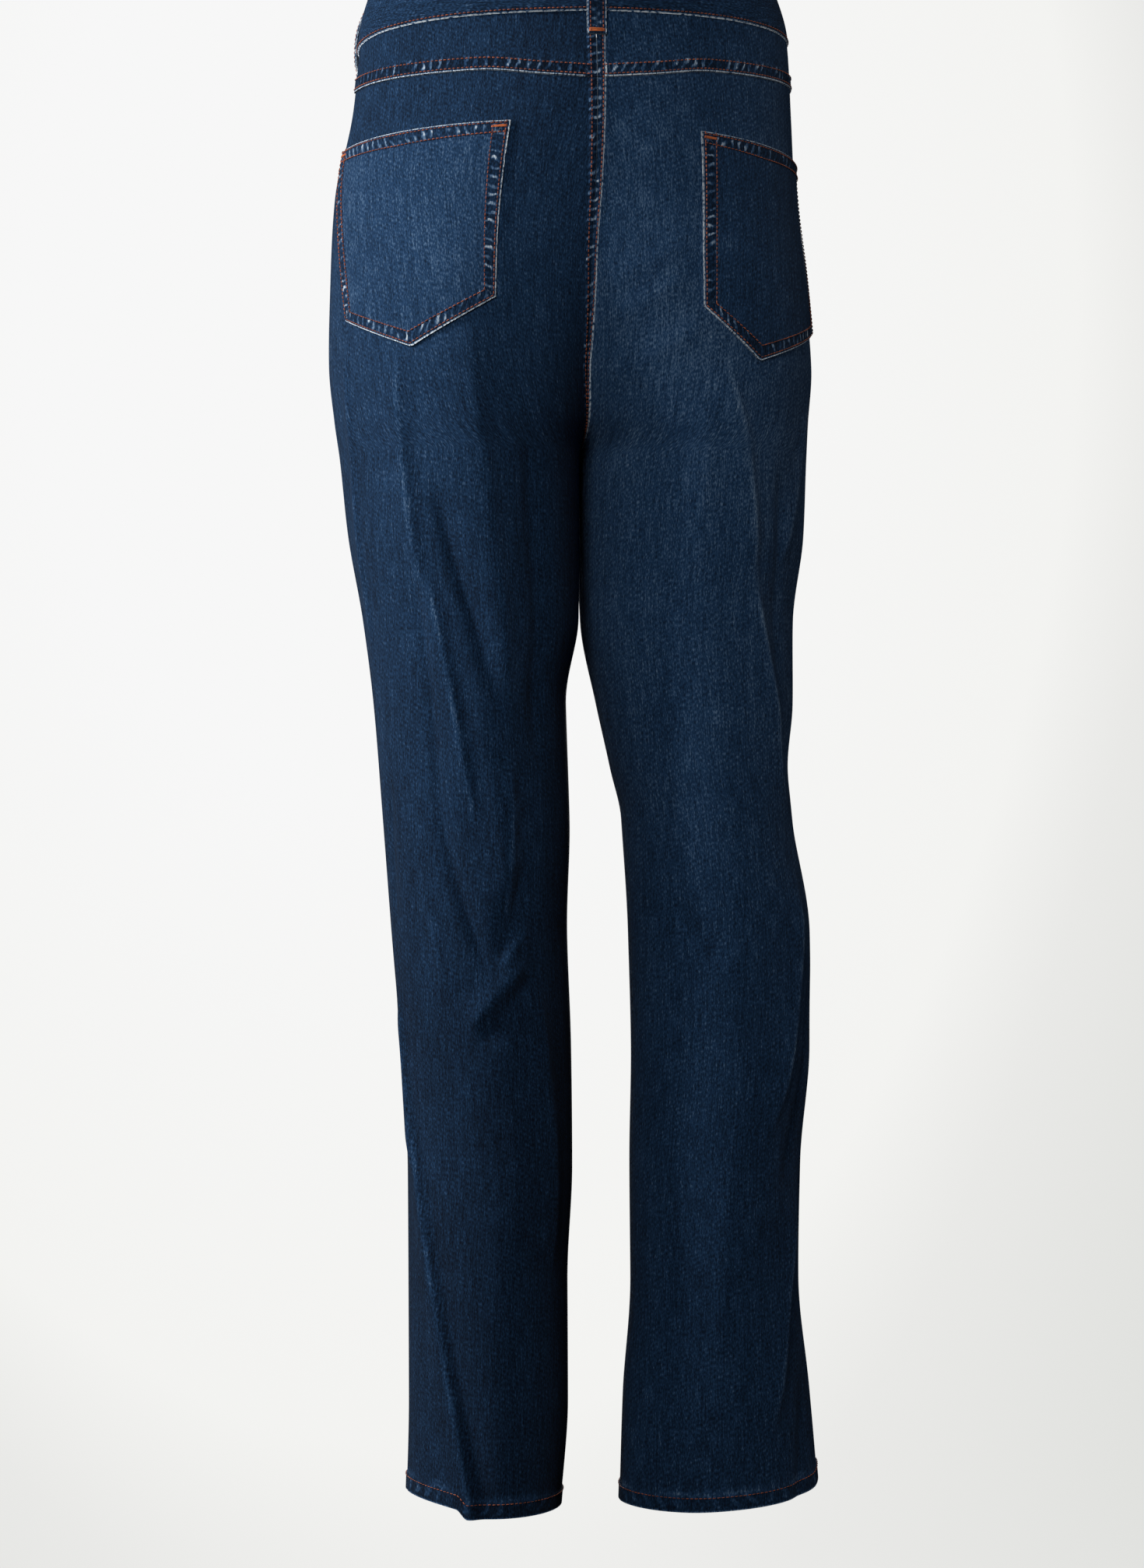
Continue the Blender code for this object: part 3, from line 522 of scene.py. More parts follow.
    roped = node(tree, "ShaderNodeMath", {0: bead, 1: margin}, operation="MULTIPLY")[0]
    height = 0.0
    for part, share in ((slub, 0.10), (speck, 0.14), (twill, 0.05), (roped, 0.55)):
        height = node(tree, "ShaderNodeMath", {0: part, 1: share, 2: height}, operation="MULTIPLY_ADD")[0]
    normal = node(tree, "ShaderNodeBump", {"Height": height, "Strength": 0.4, "Distance": 0.0011})["Normal"]
    tree.links.new(normal, shader.inputs["Normal"])
    shader.inputs["Roughness"].default_value = 0.95
    shader.inputs["Specular IOR Level"].default_value = 0.10
    shader.inputs["Sheen Weight"].default_value = 0.02
    shader.inputs["Sheen Roughness"].default_value = 0.5
    return material


outer_denim = denim("indigo_stretch_denim")


def cut_cloth(side, around, z, middle):
    """Place on the cut cloth: metres from the piece's middle line, and metres up the warp."""
    return np.stack([(around - middle) * half_girth(side, z) + side, z + 0 * around], -1)


def denim_piece(name, *shape):
    """A finished piece of denim, of the shape that sheet_mesh takes."""
    return add_piece(name, sheet_mesh(name, *shape), outer_denim, "denim", name)


def side_piece(name, side, around, z, lifts, middle, seam, fade, wear):
    """A piece of denim on one side of the garment, between two lifts out of its face."""
    outer, inner = [cloth_point(side, around, z, lift) for lift in lifts]
    return denim_piece(name, outer, inner, cut_cloth(side, around, z, middle), seam, fade, wear)


def leg_fade_and_painted_light(side, around, z):
    """How faded the cloth is, with painted light and shade in it: a little over the seat and
    thighs, less towards the hem, a thin uneven pale line along each sharp crease's ridge that is
    part rubbed wear and part painted highlight, painted shade in the valleys, and the left side
    painted darker than the right to even out the lamps' light on the two sides."""
    lift = crease_lift(side, around, z)
    thigh = np.exp(-(((z + 0.36) / 0.22) ** 2)) * np.exp(-(((around - 0.30) / 0.22) ** 2))
    front = np.exp(-(((z + 0.42) / 0.26) ** 2)) * np.exp(-(((around - 0.75) / 0.18) ** 2))
    low = 0.07 * ease((-0.45 - z) / 0.4)
    seat = 0.055 * np.exp(-(((z + 0.22) / 0.085) ** 2))
    # Part rubbed wear, part painted highlight: a pale uneven line along each sharp ridge
    crest = np.minimum(55 * crease_lift(side, around, z, 0.0017), 0.17) * (0.7 + 0.3 * np.sin(83 * z))
    # Painted shade: the cloth is darker in the crease valleys
    painted_valley_shade = 0.04 * np.clip(-lift / 0.004, 0, 1)
    # Painted light: the left side is 0.052 less faded and the right 0.052 more, evening out the lamps' light
    # on the two sides
    return 0.305 - 0.052 * side + 0.03 * thigh + 0.13 * front + seat - low + crest - painted_valley_shade


def seam_ridges(around, z, girth, hem):
    """Lift of the joined edges: the felled seat seam stands 1.0 mm proud, 5.2 mm to each side
    above the crotch, the side seam dips 0.5 mm, the inseam 0.3 mm, and the hem stands 0.8 mm."""
    from_inner = around * girth
    seat = 0.0010 * ease((FELLED_HALF - from_inner) / 0.0007) * ease((z - (CROTCH - 0.004)) / 0.02)
    from_side = np.abs(around - 0.5) * girth
    side_dip = -0.0005 * np.exp(-((from_side / 0.0022) ** 2))
    inseam = -0.0003 * np.exp(-((np.minimum(from_inner, (1 - around) * girth) / 0.002) ** 2))
    turned = 0.0008 * ease((hem + HEM_HEIGHT - z) / 0.0010)
    return seat + side_dip + inseam + turned


# Shares of a panel's length with closer rows, how much thicker its wall is at the hem, and half
# the gap left at a side seam, which is nearly closed so that no light comes through it
TOP_SHARE = 0.012
HEM_SHARE = 0.0135
HEM_THICKER = 0.0016
SIDE_GAP = 0.00002


def leg_panel(name, side, around, top):
    """A panel on rows from its top seam to its hem, closer at both ends."""
    hem = hem_height(side, around)
    near_top = np.linspace(0, TOP_SHARE, 9)
    near_hem = 1 - np.linspace(HEM_SHARE, 0, 13)
    t = np.concatenate([near_top[:-1], np.linspace(TOP_SHARE, 1 - HEM_SHARE, 260), near_hem[1:]])[:, None]
    z = mix(top, hem, t)
    around = np.broadcast_to(around, z.shape)
    girth = half_girth(side, z)
    is_back = around.mean() < 0.5
    low_gap, high_gap = (HALF_GAP, SIDE_GAP) if is_back else (SIDE_GAP, HALF_GAP)
    around = np.clip(around, around.min() + low_gap / girth, around.max() - high_gap / girth)
    lift = seam_ridges(around, z, girth, hem)
    wall = DENIM_WALL + HEM_THICKER * ease((hem + HEM_HEIGHT - z) / 0.0010)
    # Nearest seam: the hem below, the seat seam or inseam inwards, the side seam outwards. The
    # felled seat seam's rubbed edge is on the right, 5.2 mm from the centre back. Whole numbers
    # added to a seam's run keep its beads unlike those of the others
    from_inner = np.minimum(around, 1 - around) * girth
    from_side = np.abs(around - 0.5) * girth
    from_hem = z - hem
    above_crotch = ease((z - CROTCH + 0.004) / 0.02)
    sideways = np.minimum(from_inner, from_side)
    if is_back:
        seat_edge = np.abs(FELLED_HALF + side * from_inner)
        sideways = np.where((from_inner < from_side) & (above_crotch > 0.01), seat_edge, sideways)
    at_hem = from_hem < sideways
    run = np.where(at_hem, around * girth * 0.55 + 3.0, z + np.where(from_inner < from_side, 0.0, 5.0))
    away = np.where(at_hem, from_hem, sideways)
    wear = 0.30 * ease((0.0045 - from_side) / 0.003) + 0.25 * ease((0.003 - from_inner) / 0.002)
    if is_back:
        wear = np.maximum(wear, above_crotch * ease((FELLED_HALF + 0.0005 - from_inner) / 0.0008))
    wear = np.where(at_hem, 0.42 * ease((HEM_HEIGHT + 0.0005 - from_hem) / 0.0015), wear)
    # The cloth is rubbed pale in patches where it bends over the hem's stitching
    patches = 0.5 + 0.5 * np.sin(around * 37 + 2 * np.sin(around * 17))
    rubbed = np.exp(-(((from_hem - HEM_HEIGHT - 0.0014) / 0.0014) ** 2))
    fade = leg_fade_and_painted_light(side, around, z) + 0.22 * rubbed * patches
    seam = (run + 7.0 * (at_hem * side), away)
    middle = 0.25 if is_back else 0.75
    piece = side_piece(name, side, around, z, (lift, lift - wall), middle, seam, fade, wear)


for side, word in SIDES.items():
    # Columns close beside the seat seam, then even
    back = np.concatenate([np.linspace(0, 0.014, 15)[:-1], np.linspace(0.014, 0.5, 138)])
    leg_panel("back_panel_" + word, side, back, seam_height(YOKE_SEAM, side, back) - HALF_GAP)
    # The pocket mouth is a quarter of an ellipse, with closer columns where it is steep
    scoop = 0.5 + SCOOP_WIDTH * np.sin(np.linspace(0, np.pi / 2, 40))
    front = np.concatenate([scoop, np.linspace(0.5 + SCOOP_WIDTH, 1, 84)[1:]])
    drop = np.sqrt(np.clip(1 - ((front - 0.5) / SCOOP_WIDTH) ** 2, 0, 1))
    mouth = seam_height(WAIST_SEAM, side, front) - SCOOP_DEPTH * drop - HALF_GAP
    leg_panel("front_panel_" + word, side, front, mouth)


# Yokes: a short shaped strip across each side of the back, its lower edge felled down over
# the back panel with the edge rubbed pale.
FELLED = 0.0104
for side, word in SIDES.items():
    t = np.concatenate([np.linspace(0, 0.74, 14)[:-1], np.linspace(0.74, 1, 20)])[:, None]
    around = np.concatenate([np.linspace(0, 0.014, 15)[:-1], np.linspace(0.014, 0.5, 110)])[None, :]
    top = seam_height(WAIST_SEAM, side, around) - HALF_GAP
    low = seam_height(YOKE_SEAM, side, around) + HALF_GAP
    z = mix(top, low, t)
    girth = half_girth(side, z)
    around = np.clip(np.broadcast_to(around, z.shape), HALF_GAP / girth, 0.5 - HALF_GAP / girth)
    from_low = z - low
    from_inner = around * girth
    felled = 0.0010 * ease((FELLED - from_low) / 0.0012)
    seat = 0.0012 * ease((FELLED_HALF - from_inner) / 0.0007)
    lift = np.maximum(felled, seat) - 0.0005 * np.exp(-((((0.5 - around) * girth) / 0.0022) ** 2))
    seat_edge = np.abs(FELLED_HALF + side * from_inner)
    at_seat = from_inner < FELLED_HALF + 0.001
    run = np.where(at_seat, z, around * girth * side + 9.0)
    seam = (run, np.where(at_seat, seat_edge, from_low))
    wear = np.maximum(
        ease((FELLED + 0.0003 - from_low) / 0.0010), ease((FELLED_HALF + 0.0005 - from_inner) / 0.0008)
    )
    lifts = (lift, lift - DENIM_WALL - 0.0003)
    # Painted light: the left yoke is painted darker than the right, evening out the lamps' light on the two
    # sides
    fade = 0.287 - 0.050 * side
    piece = side_piece("yoke_" + word, side, around, z, lifts, 0.25, seam, fade, wear)


# Front pocket facings: a denim piece behind each scooped mouth, sewn in at the waist and side.
FACING_LIFT = -0.0025
FACING_BEYOND = 0.035
FACING_CUT_OFF = 0.02
facing_wide = SCOOP_WIDTH + FACING_BEYOND + FACING_CUT_OFF
for side, word in SIDES.items():
    t = np.linspace(0, 1, 40)[:, None]
    around = (0.5 + (facing_wide - FACING_CUT_OFF) * np.sin(np.linspace(0, np.pi / 2, 60)))[None, :]
    top = seam_height(WAIST_SEAM, side, around) - HALF_GAP
    reach = (SCOOP_DEPTH + 0.022) * np.sqrt(1 - ((around - 0.5) / facing_wide) ** 2)
    z = mix(top, top - reach, t)
    around = np.maximum(np.broadcast_to(around, z.shape), 0.5 + HALF_GAP / half_girth(side, z))
    lifts = (FACING_LIFT, FACING_LIFT - DENIM_WALL)
    piece = side_piece("pocket_facing_" + word, side, around, z, lifts, 0.6, (around, 1.0), 0.26, 0.0)


# Back pockets: five-sided patches with a turned top, sewn flat on the back panels. Their
# turned margins pucker between two rows of stitching, and every edge is rubbed pale.
LAYER_GAP = 0.0006
POCKET_MARGIN = 0.0095
POCKET_COLUMNS = ("inner_top", "outer_top", "outer_bottom", "point", "inner_bottom")
POCKETS = {
    1: ((0.129, -0.101), (0.485, -0.109), (0.426, -0.234), (0.303, -0.258), (0.169, -0.225)),
    -1: ((0.157, -0.104), (0.490, -0.114), (0.425, -0.236), (0.264, -0.264), (0.175, -0.228)),
}


def pocket_place(side, u, t):
    """Place round the side and height of a pocket point: u across from its inner to its outer
    edge, t down from its slanted top to its pointed bottom."""
    c = dict(zip(POCKET_COLUMNS, POCKETS[side]))
    tip = (c["point"][0] - c["inner_bottom"][0]) / (c["outer_bottom"][0] - c["inner_bottom"][0])
    bottom = np.interp(u, [0, tip, 1], [c["inner_bottom"][1], c["point"][1], c["outer_bottom"][1]])
    z = mix(mix(c["inner_top"][1], c["outer_top"][1], u), bottom, t)
    inner = mix(c["inner_top"][0], c["inner_bottom"][0], t)
    outer = mix(c["outer_top"][0], c["outer_bottom"][0], t)
    return mix(inner, outer, u), z


def margin_steps(count, margin):
    """0 to 1 with closer steps within a margin of both ends."""
    rim = np.linspace(0, margin, 12)
    return np.concatenate([rim[:-1], np.linspace(margin, 1 - margin, count), 1 - rim[::-1][1:]])


for side, word in SIDES.items():
    t, u = np.meshgrid(margin_steps(40, 0.08), margin_steps(40, 0.09), indexing="ij")
    around, z = pocket_place(side, u, t)
    face = cloth_point(side, around, z, LAYER_GAP + 0.0014)
    # Distances to the four edges, measured on the cloth
    across = np.linalg.norm(np.diff(face, axis=1), axis=2)
    from_left = np.concatenate([0 * across[:, :1], np.cumsum(across, 1)], 1)
    from_right = from_left[:, -1:] - from_left
    down = np.linalg.norm(np.diff(face, axis=0), axis=2)
    from_top = np.concatenate([0 * down[:1], np.cumsum(down, 0)], 0)
    from_low = (from_top[-1:] - from_top) * 0.93
    distances = np.stack([from_left, from_right, from_top, from_low])
    nearest = distances.argmin(0)
    away = distances.min(0)
    run = np.where(nearest < 2, from_top + 2.0 * nearest, from_left + 2.0 * nearest)
    margin = ease((POCKET_MARGIN - away) / 0.0020)
    lift = LAYER_GAP + 0.0014 + 0.0004 * margin - 0.0006 * ease((0.0009 - away) / 0.0009)
    # The pockets are cut from another part of the cloth than the panels
    piece = denim_piece(
        "back_pocket_" + word,
        cloth_point(side, around, z, lift),
        cloth_point(side, around, z, LAYER_GAP),
        cut_cloth(side, around, z, 0.25) + 0.37,
        (run + 13 * side, away),
        # Fade: the left pocket is painted paler than the right, a painted highlight on the lamp-lit side
        0.345 + 0.03 * side,
        ease((POCKET_MARGIN + 0.0006 - away) / 0.0012),
    )


# Waistband: a folded strip of denim, 40 mm high and stiffened, its outer end lapped over its
# inner end at the front. Its lower edge is rubbed pale where it stands on the seam.
BAND_HEIGHT = 0.040
BAND_OUTSIDE = 0.0008
BAND_WALL = 0.0030
BAND_OVERLAP = 0.012
BAND_UNDERLAP = 0.030


def round_both_sides(place):
    """Which places are on the left, and each place round the left side and the right."""
    on_left = (place >= 0) & (place <= 1) | (place > 2)
    left_round = np.where(place > 2, 3 - place, 1 - place)
    right_round = np.where(place < 0, 1 + place, place - 1)
    return on_left, np.clip(left_round, 0, 1), np.clip(right_round, 0, 1)


def whole_waist_point(place, z, lift):
    """Point all round the waist: place 0 at the centre front, 1 at the centre back, 2 at the
    front again, from the wearer's left to the right. It carries on past both ends."""
    place, z, lift = np.broadcast_arrays(place, z, lift)
    on_left, left_round, right_round = round_both_sides(place)
    left = cloth_point(1, left_round, z, lift)
    return np.where(on_left[..., None], left, cloth_point(-1, right_round, z, lift))


def waist_seam_all_round(place):
    """Height of the waist seam at the same places."""
    on_left, left_round, right_round = round_both_sides(place)
    left = seam_height(WAIST_SEAM, 1, left_round)
    return np.where(on_left, left, seam_height(WAIST_SEAM, -1, right_round))


def rounding(from_edge, depth, width):
    """How far a rounded edge falls back: a quarter of an oval."""
    return depth * (1 - np.sqrt(1 - (1 - np.clip(from_edge / width, 0, 1)) ** 2))


waist_girth = float(half_girth(1, np.array(-0.020)))
first_place = -BAND_OVERLAP / waist_girth
last_place = 2 + BAND_UNDERLAP / waist_girth


def band_under(place):
    """How far the band dips in at its end under the lap."""
    return -(BAND_WALL + SEAM_GAP) * ease((place - (2 + first_place - 0.13)) / 0.10)


up = np.concatenate([np.linspace(0, 0.06, 8)[:-1], np.linspace(0.06, 0.94, 26), np.linspace(0.94, 1, 8)[1:]])
t, place = np.meshgrid(up[::-1], np.linspace(first_place, last_place, 420), indexing="ij")
z = waist_seam_all_round(place) + mix(HALF_GAP, BAND_HEIGHT, t)
from_low = t * BAND_HEIGHT
from_edge = np.minimum(from_low, BAND_HEIGHT - from_low)
round_off = rounding(from_edge, 0.0011, 0.0014)
waistband = denim_piece(
    "waistband",
    whole_waist_point(place, z, BAND_OUTSIDE - round_off + band_under(place)),
    whole_waist_point(place, z, BAND_OUTSIDE - BAND_WALL + round_off + band_under(place)),
    np.stack([z, place * waist_girth], -1),
    (place * waist_girth + 30.0 + (from_low > BAND_HEIGHT / 2) * 4.0, from_edge),
    0.28,
    ease((0.0048 - from_edge) / 0.0025),
)


# Belt loops: narrow felled strips, both ends turned under and bar tacked, the middle standing
# off the band.
LOOP_WIDTH = 0.011
LOOP_WALL = 0.0020
LOOP_BELOW_BAND = 0.018
LOOP_BOW = 0.0028
LOOPS = (
    ("belt_loop_back", 1.0),
    ("belt_loop_side_left", 0.40),
    ("belt_loop_side_right", 1.60),
    ("belt_loop_front_left", 0.20),
    ("belt_loop_front_right", 1.80),
)


def loop_point(middle, across, t, lift):
    """Point of a belt loop: across is metres from its middle line, t is 0 at its lower end."""
    place = middle + across / waist_girth
    z = waist_seam_all_round(np.full(np.shape(place), middle)) + mix(-LOOP_BELOW_BAND, BAND_HEIGHT - 0.001, t)
    # Below the band the back loop lies on the felled seat seam, 1.2 mm proud of the yokes
    below = 0.0013 if middle == 1.0 else 0.0
    over = mix(below, BAND_OUTSIDE + SEAM_GAP, ease((t - 0.16) / 0.12))
    stand_off = SEAM_GAP + over + LOOP_BOW * np.sin(np.pi * np.clip((t - 0.18) / 0.80, 0, 1))
    return whole_waist_point(place, z, stand_off + lift)


for name, middle in LOOPS:
    t, across = np.meshgrid(np.linspace(0, 1, 90), LOOP_WIDTH / 2 * np.linspace(-1, 1, 19), indexing="ij")
    from_edge = LOOP_WIDTH / 2 - np.abs(across)
    round_off = rounding(from_edge, 0.0008, 0.0010)
    piece = denim_piece(
        name,
        loop_point(middle, across, t, LOOP_WALL - round_off),
        loop_point(middle, across, t, round_off * 0.5),
        np.stack([across + middle, t * 0.06], -1),
        (t * 0.06 + 50 + middle * 3 + (across > 0) * 2, from_edge),
        0.30,
        0.85,
    )


# Topstitching: heavy core-spun polyester thread in rust, 3 mm stitches that sink at each end.
STITCH = 0.0031
THREAD = 0.00045


def polyester(name, code, code_dark):
    """Core-spun polyester thread: its shade drifts along the row, and its plies glint."""
    material, tree, shader = blank_material(name)
    here = node(tree, "ShaderNodeTexCoord")["Object"]
    # Shade drifts about every 12 mm
    shade = node(tree, "ShaderNodeTexNoise", {"Vector": here, "Scale": 85.0, "Detail": 2.0})["Fac"]
    stops = ((0.34, code_dark), (0.66, code))
    colour = node(tree, "ShaderNodeValToRGB", {"Fac": shade}, stops)["Color"]
    tree.links.new(colour, shader.inputs["Base Color"])
    # Plies 0.35 mm apart
    ply = node(tree, "ShaderNodeTexNoise", {"Vector": here, "Scale": 2800.0, "Detail": 1.0})["Fac"]
    normal = node(tree, "ShaderNodeBump", {"Height": ply, "Strength": 0.5, "Distance": 0.0002})["Normal"]
    tree.links.new(normal, shader.inputs["Normal"])
    shader.inputs["Roughness"].default_value = 0.65
    shader.inputs["Sheen Weight"].default_value = 0.1
    return material


rust_thread = polyester("rust_topstitch_thread", "#a5522f", "#6b3322")
orange_thread = polyester("orange_tack_thread", "#d06a2c", "#a04a22")


def stitches(path, out, pitch=STITCH, radius=THREAD, cover=0.80):
    """Stitches along a path of points with outward directions: each is a four-sided strand
    that rises from the cloth, runs and sinks again. Returns points and faces."""
    step = np.linalg.norm(np.diff(path, axis=0), axis=1)
    length = np.concatenate([[0], np.cumsum(step)])
    count = max(int(length[-1] / pitch), 1)
    starts = np.arange(count) * length[-1] / count
    along = np.array([0.0, 0.18, 0.5, 0.82, 1.0])
    height = np.array([-0.9, 0.45, 0.75, 0.45, -0.9]) * radius
    girth = np.array([0.55, 0.95, 1.0, 0.95, 0.55]) * radius
    at = starts[:, None] + along[None, :] * cover * length[-1] / count
    centre = np.stack([np.interp(at, length, path[:, i]) for i in range(3)], -1)
    normal = unit(np.stack([np.interp(at, length, out[:, i]) for i in range(3)], -1))
    tangent = np.broadcast_to(unit(centre[:, -1:] - centre[:, :1]), centre.shape)
    across = np.cross(tangent, normal)
    turn = np.arange(4) * np.pi / 2 + np.pi / 4
    rings = (
        (centre + normal * height[None, :, None])[:, :, None]
        + across[:, :, None] * (np.cos(turn) * girth[:, None])[None, :, :, None]
        + normal[:, :, None] * (np.sin(turn) * girth[:, None])[None, :, :, None]
    )
    index = np.arange(count * 5 * 4).reshape(count, 5, 4)
    ends = np.concatenate([index[:, 0, ::-1], index[:, -1]])
    return rings.reshape(-1, 3), np.concatenate([ring_faces(index), ends])


def join(rows):
    """Points and faces of many rows of stitches as one."""
    points = np.concatenate([p for p, _ in rows])
    shift = np.cumsum([0] + [len(p) for p, _ in rows[:-1]])
    return points, np.concatenate([f + s for (_, f), s in zip(rows, shift)])


def thread_piece(name, rows, material=rust_thread):
    """One mesh of many rows of stitches."""
    mesh = plain_mesh(name, *join(rows))
    mesh.shade_smooth()
    return add_piece(name, mesh, material, "thread")


def row_on_side(side, around, z, lift, **sizes):
    """A row of stitches on one side's cloth."""
    around, z = np.broadcast_arrays(around, z)
    path = cloth_point(side, around, z, lift)
    out = outward(side, ring(side, z)["widest"] * (1 - 2 * around), z)
    return stitches(path, out, **sizes)


def row_on_band(place, z, lift, **sizes):
    """A row of stitches on the waistband."""
    place, z, lift = np.broadcast_arrays(place, z, lift)
    path = whole_waist_point(place, z, lift)
    out = whole_waist_point(place, z, lift + 0.001) - path
    return stitches(path, unit(out), **sizes)


band_places = np.linspace(first_place + 0.004, last_place - 0.01, 700)
band_lift = BAND_OUTSIDE + band_under(band_places)
seam_places = waist_seam_all_round(band_places)
rows = [
    row_on_band(band_places, seam_places + 0.0022, band_lift),
    row_on_band(band_places, seam_places + BAND_HEIGHT - 0.0022, band_lift),
]
thread_piece("thread_waistband", rows)

rows = []
for side in SIDES:
    s = np.linspace(0.010, 0.497, 400)
    low = seam_height(YOKE_SEAM, side, s)
    for up_from_edge in (0.0020, 0.0088):
        rows.append(row_on_side(side, s, low + up_from_edge, 0.0009))
thread_piece("thread_yokes", rows)

rows = []
z = np.linspace(-0.022, CROTCH + 0.008, 500)
for side in SIDES:
    rows.append(row_on_side(side, 0.0036 / half_girth(side, z), z, 0.0009))
thread_piece("thread_seat", rows)

# A back pocket's width and height, as its rows of stitches are set in
POCKET_WIDE = 0.118
POCKET_TALL = 0.135
for side, word in SIDES.items():
    rows = []
    # Twin rows inside every edge: 1.8 and 8.3 mm in, and 2 and 9.2 mm at the turned top
    for inset, top_inset in ((0.0018, 0.0020), (0.0083, 0.0092)):
        u_in = inset / POCKET_WIDE
        down = np.linspace(0.0, 1 - inset / POCKET_TALL, 200)
        low = 1 - 1.1 * inset / POCKET_TALL
        places = (
            (u_in, down), (1 - u_in, down), (np.linspace(u_in, 1 - u_in, 300), low),
            (np.linspace(0.012, 0.988, 200), top_inset / POCKET_TALL),
        )
        for u, t in places:
            rows.append(row_on_side(side, *pocket_place(side, u, t), LAYER_GAP + 0.0018))
    thread_piece("thread_back_pocket_" + word, rows)

for side, word in SIDES.items():
    rows = []
    for first, last in ((0.003, 0.497), (0.503, 0.997)):
        s = np.linspace(first, last, 300)
        z = hem_height(side, s) + HEM_HEIGHT - 0.0012
        rows.append(row_on_side(side, s, z, 0.0008, radius=0.00036))
    thread_piece("thread_hem_" + word, rows)

# Front: twin rows round each pocket mouth, down the fly in a J, and along the front rise
rows = []
for side in SIDES:
    for below in (0.0020, 0.0085):
        wide = SCOOP_WIDTH + below / 0.5
        s = 0.5 + wide * np.sin(np.linspace(0.02, np.pi / 2 - 0.03, 160))
        dip = (SCOOP_DEPTH + below) * np.sqrt(np.clip(1 - ((s - 0.5) / wide) ** 2, 0, 1))
        z = seam_height(WAIST_SEAM, side, s) - dip
        rows.append(row_on_side(side, s, z, 0.0001))
thread_piece("thread_pocket_mouths", rows)

FLY_TOP = -0.048
FLY_BOTTOM = -0.205
FLY_WIDTH = 0.034
FLY_CURVE_TOP = FLY_BOTTOM + 0.040
FLY_CURVE = 0.045
rows = []
turn = np.linspace(0, np.pi / 2, 40)
for inset in (0.0, 0.0065):
    wide = FLY_WIDTH - inset
    straight = np.linspace(FLY_TOP, FLY_CURVE_TOP, 160)
    off = np.concatenate([np.full(160, wide), wide * np.cos(turn)[1:]])
    z = np.concatenate([straight, FLY_CURVE_TOP - (FLY_CURVE - inset) * np.sin(turn)[1:]])
    off = np.maximum(off, 0.002)
    rows.append(row_on_side(1, 1 - off / half_girth(1, z), z, 0.0001))
z = np.linspace(FLY_BOTTOM - 0.004, CROTCH + 0.01, 120)
for side in SIDES:
    rows.append(row_on_side(side, 1 - 0.0032 / half_girth(side, z), z, 0.0001))
z = np.linspace(FLY_TOP, FLY_BOTTOM, 160)
rows.append(row_on_side(1, 1 - 0.0020 / half_girth(1, z), z, 0.0001))
thread_piece("thread_fly", rows)

rows = []
for name, middle in LOOPS:
    t = np.linspace(0.02, 0.97, 160)
    for across in (-0.0036, 0.0036):
        path = loop_point(middle, across, t, LOOP_WALL)
        rows.append(stitches(path, unit(loop_point(middle, across, t, LOOP_WALL + 0.001) - path)))
thread_piece("thread_belt_loops", rows)


# Bar tacks: dense zigzag satin across the pocket corners and the loops' ends
def bar_tack(path_at, out_at, length, wide, count):
    """Zigzag of thread across a short line: path_at gives a point for metres along and across."""
    k = np.arange(2 * count + 1)
    along = (k / (2 * count) - 0.5) * length
    across = np.where(k % 2 == 0, -0.5, 0.5) * wide
    path = path_at(along, across)
    out = np.stack([out_at, out_at])
    return join([
        stitches(np.stack(ends), out, pitch=1.0, radius=0.00038, cover=1.0)
        for ends in zip(path[:-1], path[1:])
    ])


rows = []
for side in SIDES:
    for u0, sign in ((0.0, 1), (1.0, -1)):
        def on_pocket(along, across, u0=u0, sign=sign, side=side):
            u = u0 + sign * (0.0052 + across) / POCKET_WIDE
            a, z = pocket_place(side, u, (along + 0.0046) / POCKET_TALL)
            return cloth_point(side, a, z, LAYER_GAP + 0.0019)
        a, z = pocket_place(side, np.array([u0]), np.array([0.03]))
        out = outward(side, ring(side, z)["widest"] * (1 - 2 * a), z)[0]
        rows.append(bar_tack(on_pocket, out, 0.0015, 0.0085, 3))
for name, middle in LOOPS:
    for t0 in (0.045, 0.955):
        def on_loop(along, across, middle=middle, t0=t0):
            return loop_point(middle, across, t0 + along / 0.057, LOOP_WALL + 0.0001)
        base = loop_point(middle, np.array([0.0]), np.array([t0]), LOOP_WALL)
        out = (loop_point(middle, np.array([0.0]), np.array([t0]), LOOP_WALL + 0.001) - base)[0]
        rows.append(bar_tack(on_loop, unit(out), 0.0022, 0.0095, 5))
thread_piece("thread_bar_tacks", rows, orange_thread)


# Fly: a denim shield and a cotton zip tape behind it, with moulded brass teeth and a slider at
# the top, all shut behind the left front.
def centre_front_point(distance, z, lift):
    """Point at a distance left (+) or right (-) of the centre front line."""
    distance, z, lift = np.broadcast_arrays(distance, z, lift)
    left = cloth_point(1, 1 - np.abs(distance) / half_girth(1, z), z, lift)
    right = cloth_point(-1, 1 - np.abs(distance) / half_girth(-1, z), z, lift)
    return np.where((distance >= 0)[..., None], left, right)


def fly_strip(name, heights, half_width, outside, wall, material, slot, middle=0.0):
    """A flat strip down the centre front."""
    z, across = np.meshgrid(heights, np.linspace(-1, 1, 15) * half_width + middle, indexing="ij")
    outer, inner = [centre_front_point(across, z, lift) for lift in (outside, outside - wall)]
    mesh = sheet_mesh(name, outer, inner, np.stack([across, z], -1), (z, 1.0), 0.22, 0.0)
    return add_piece(name, mesh, material, slot, name)


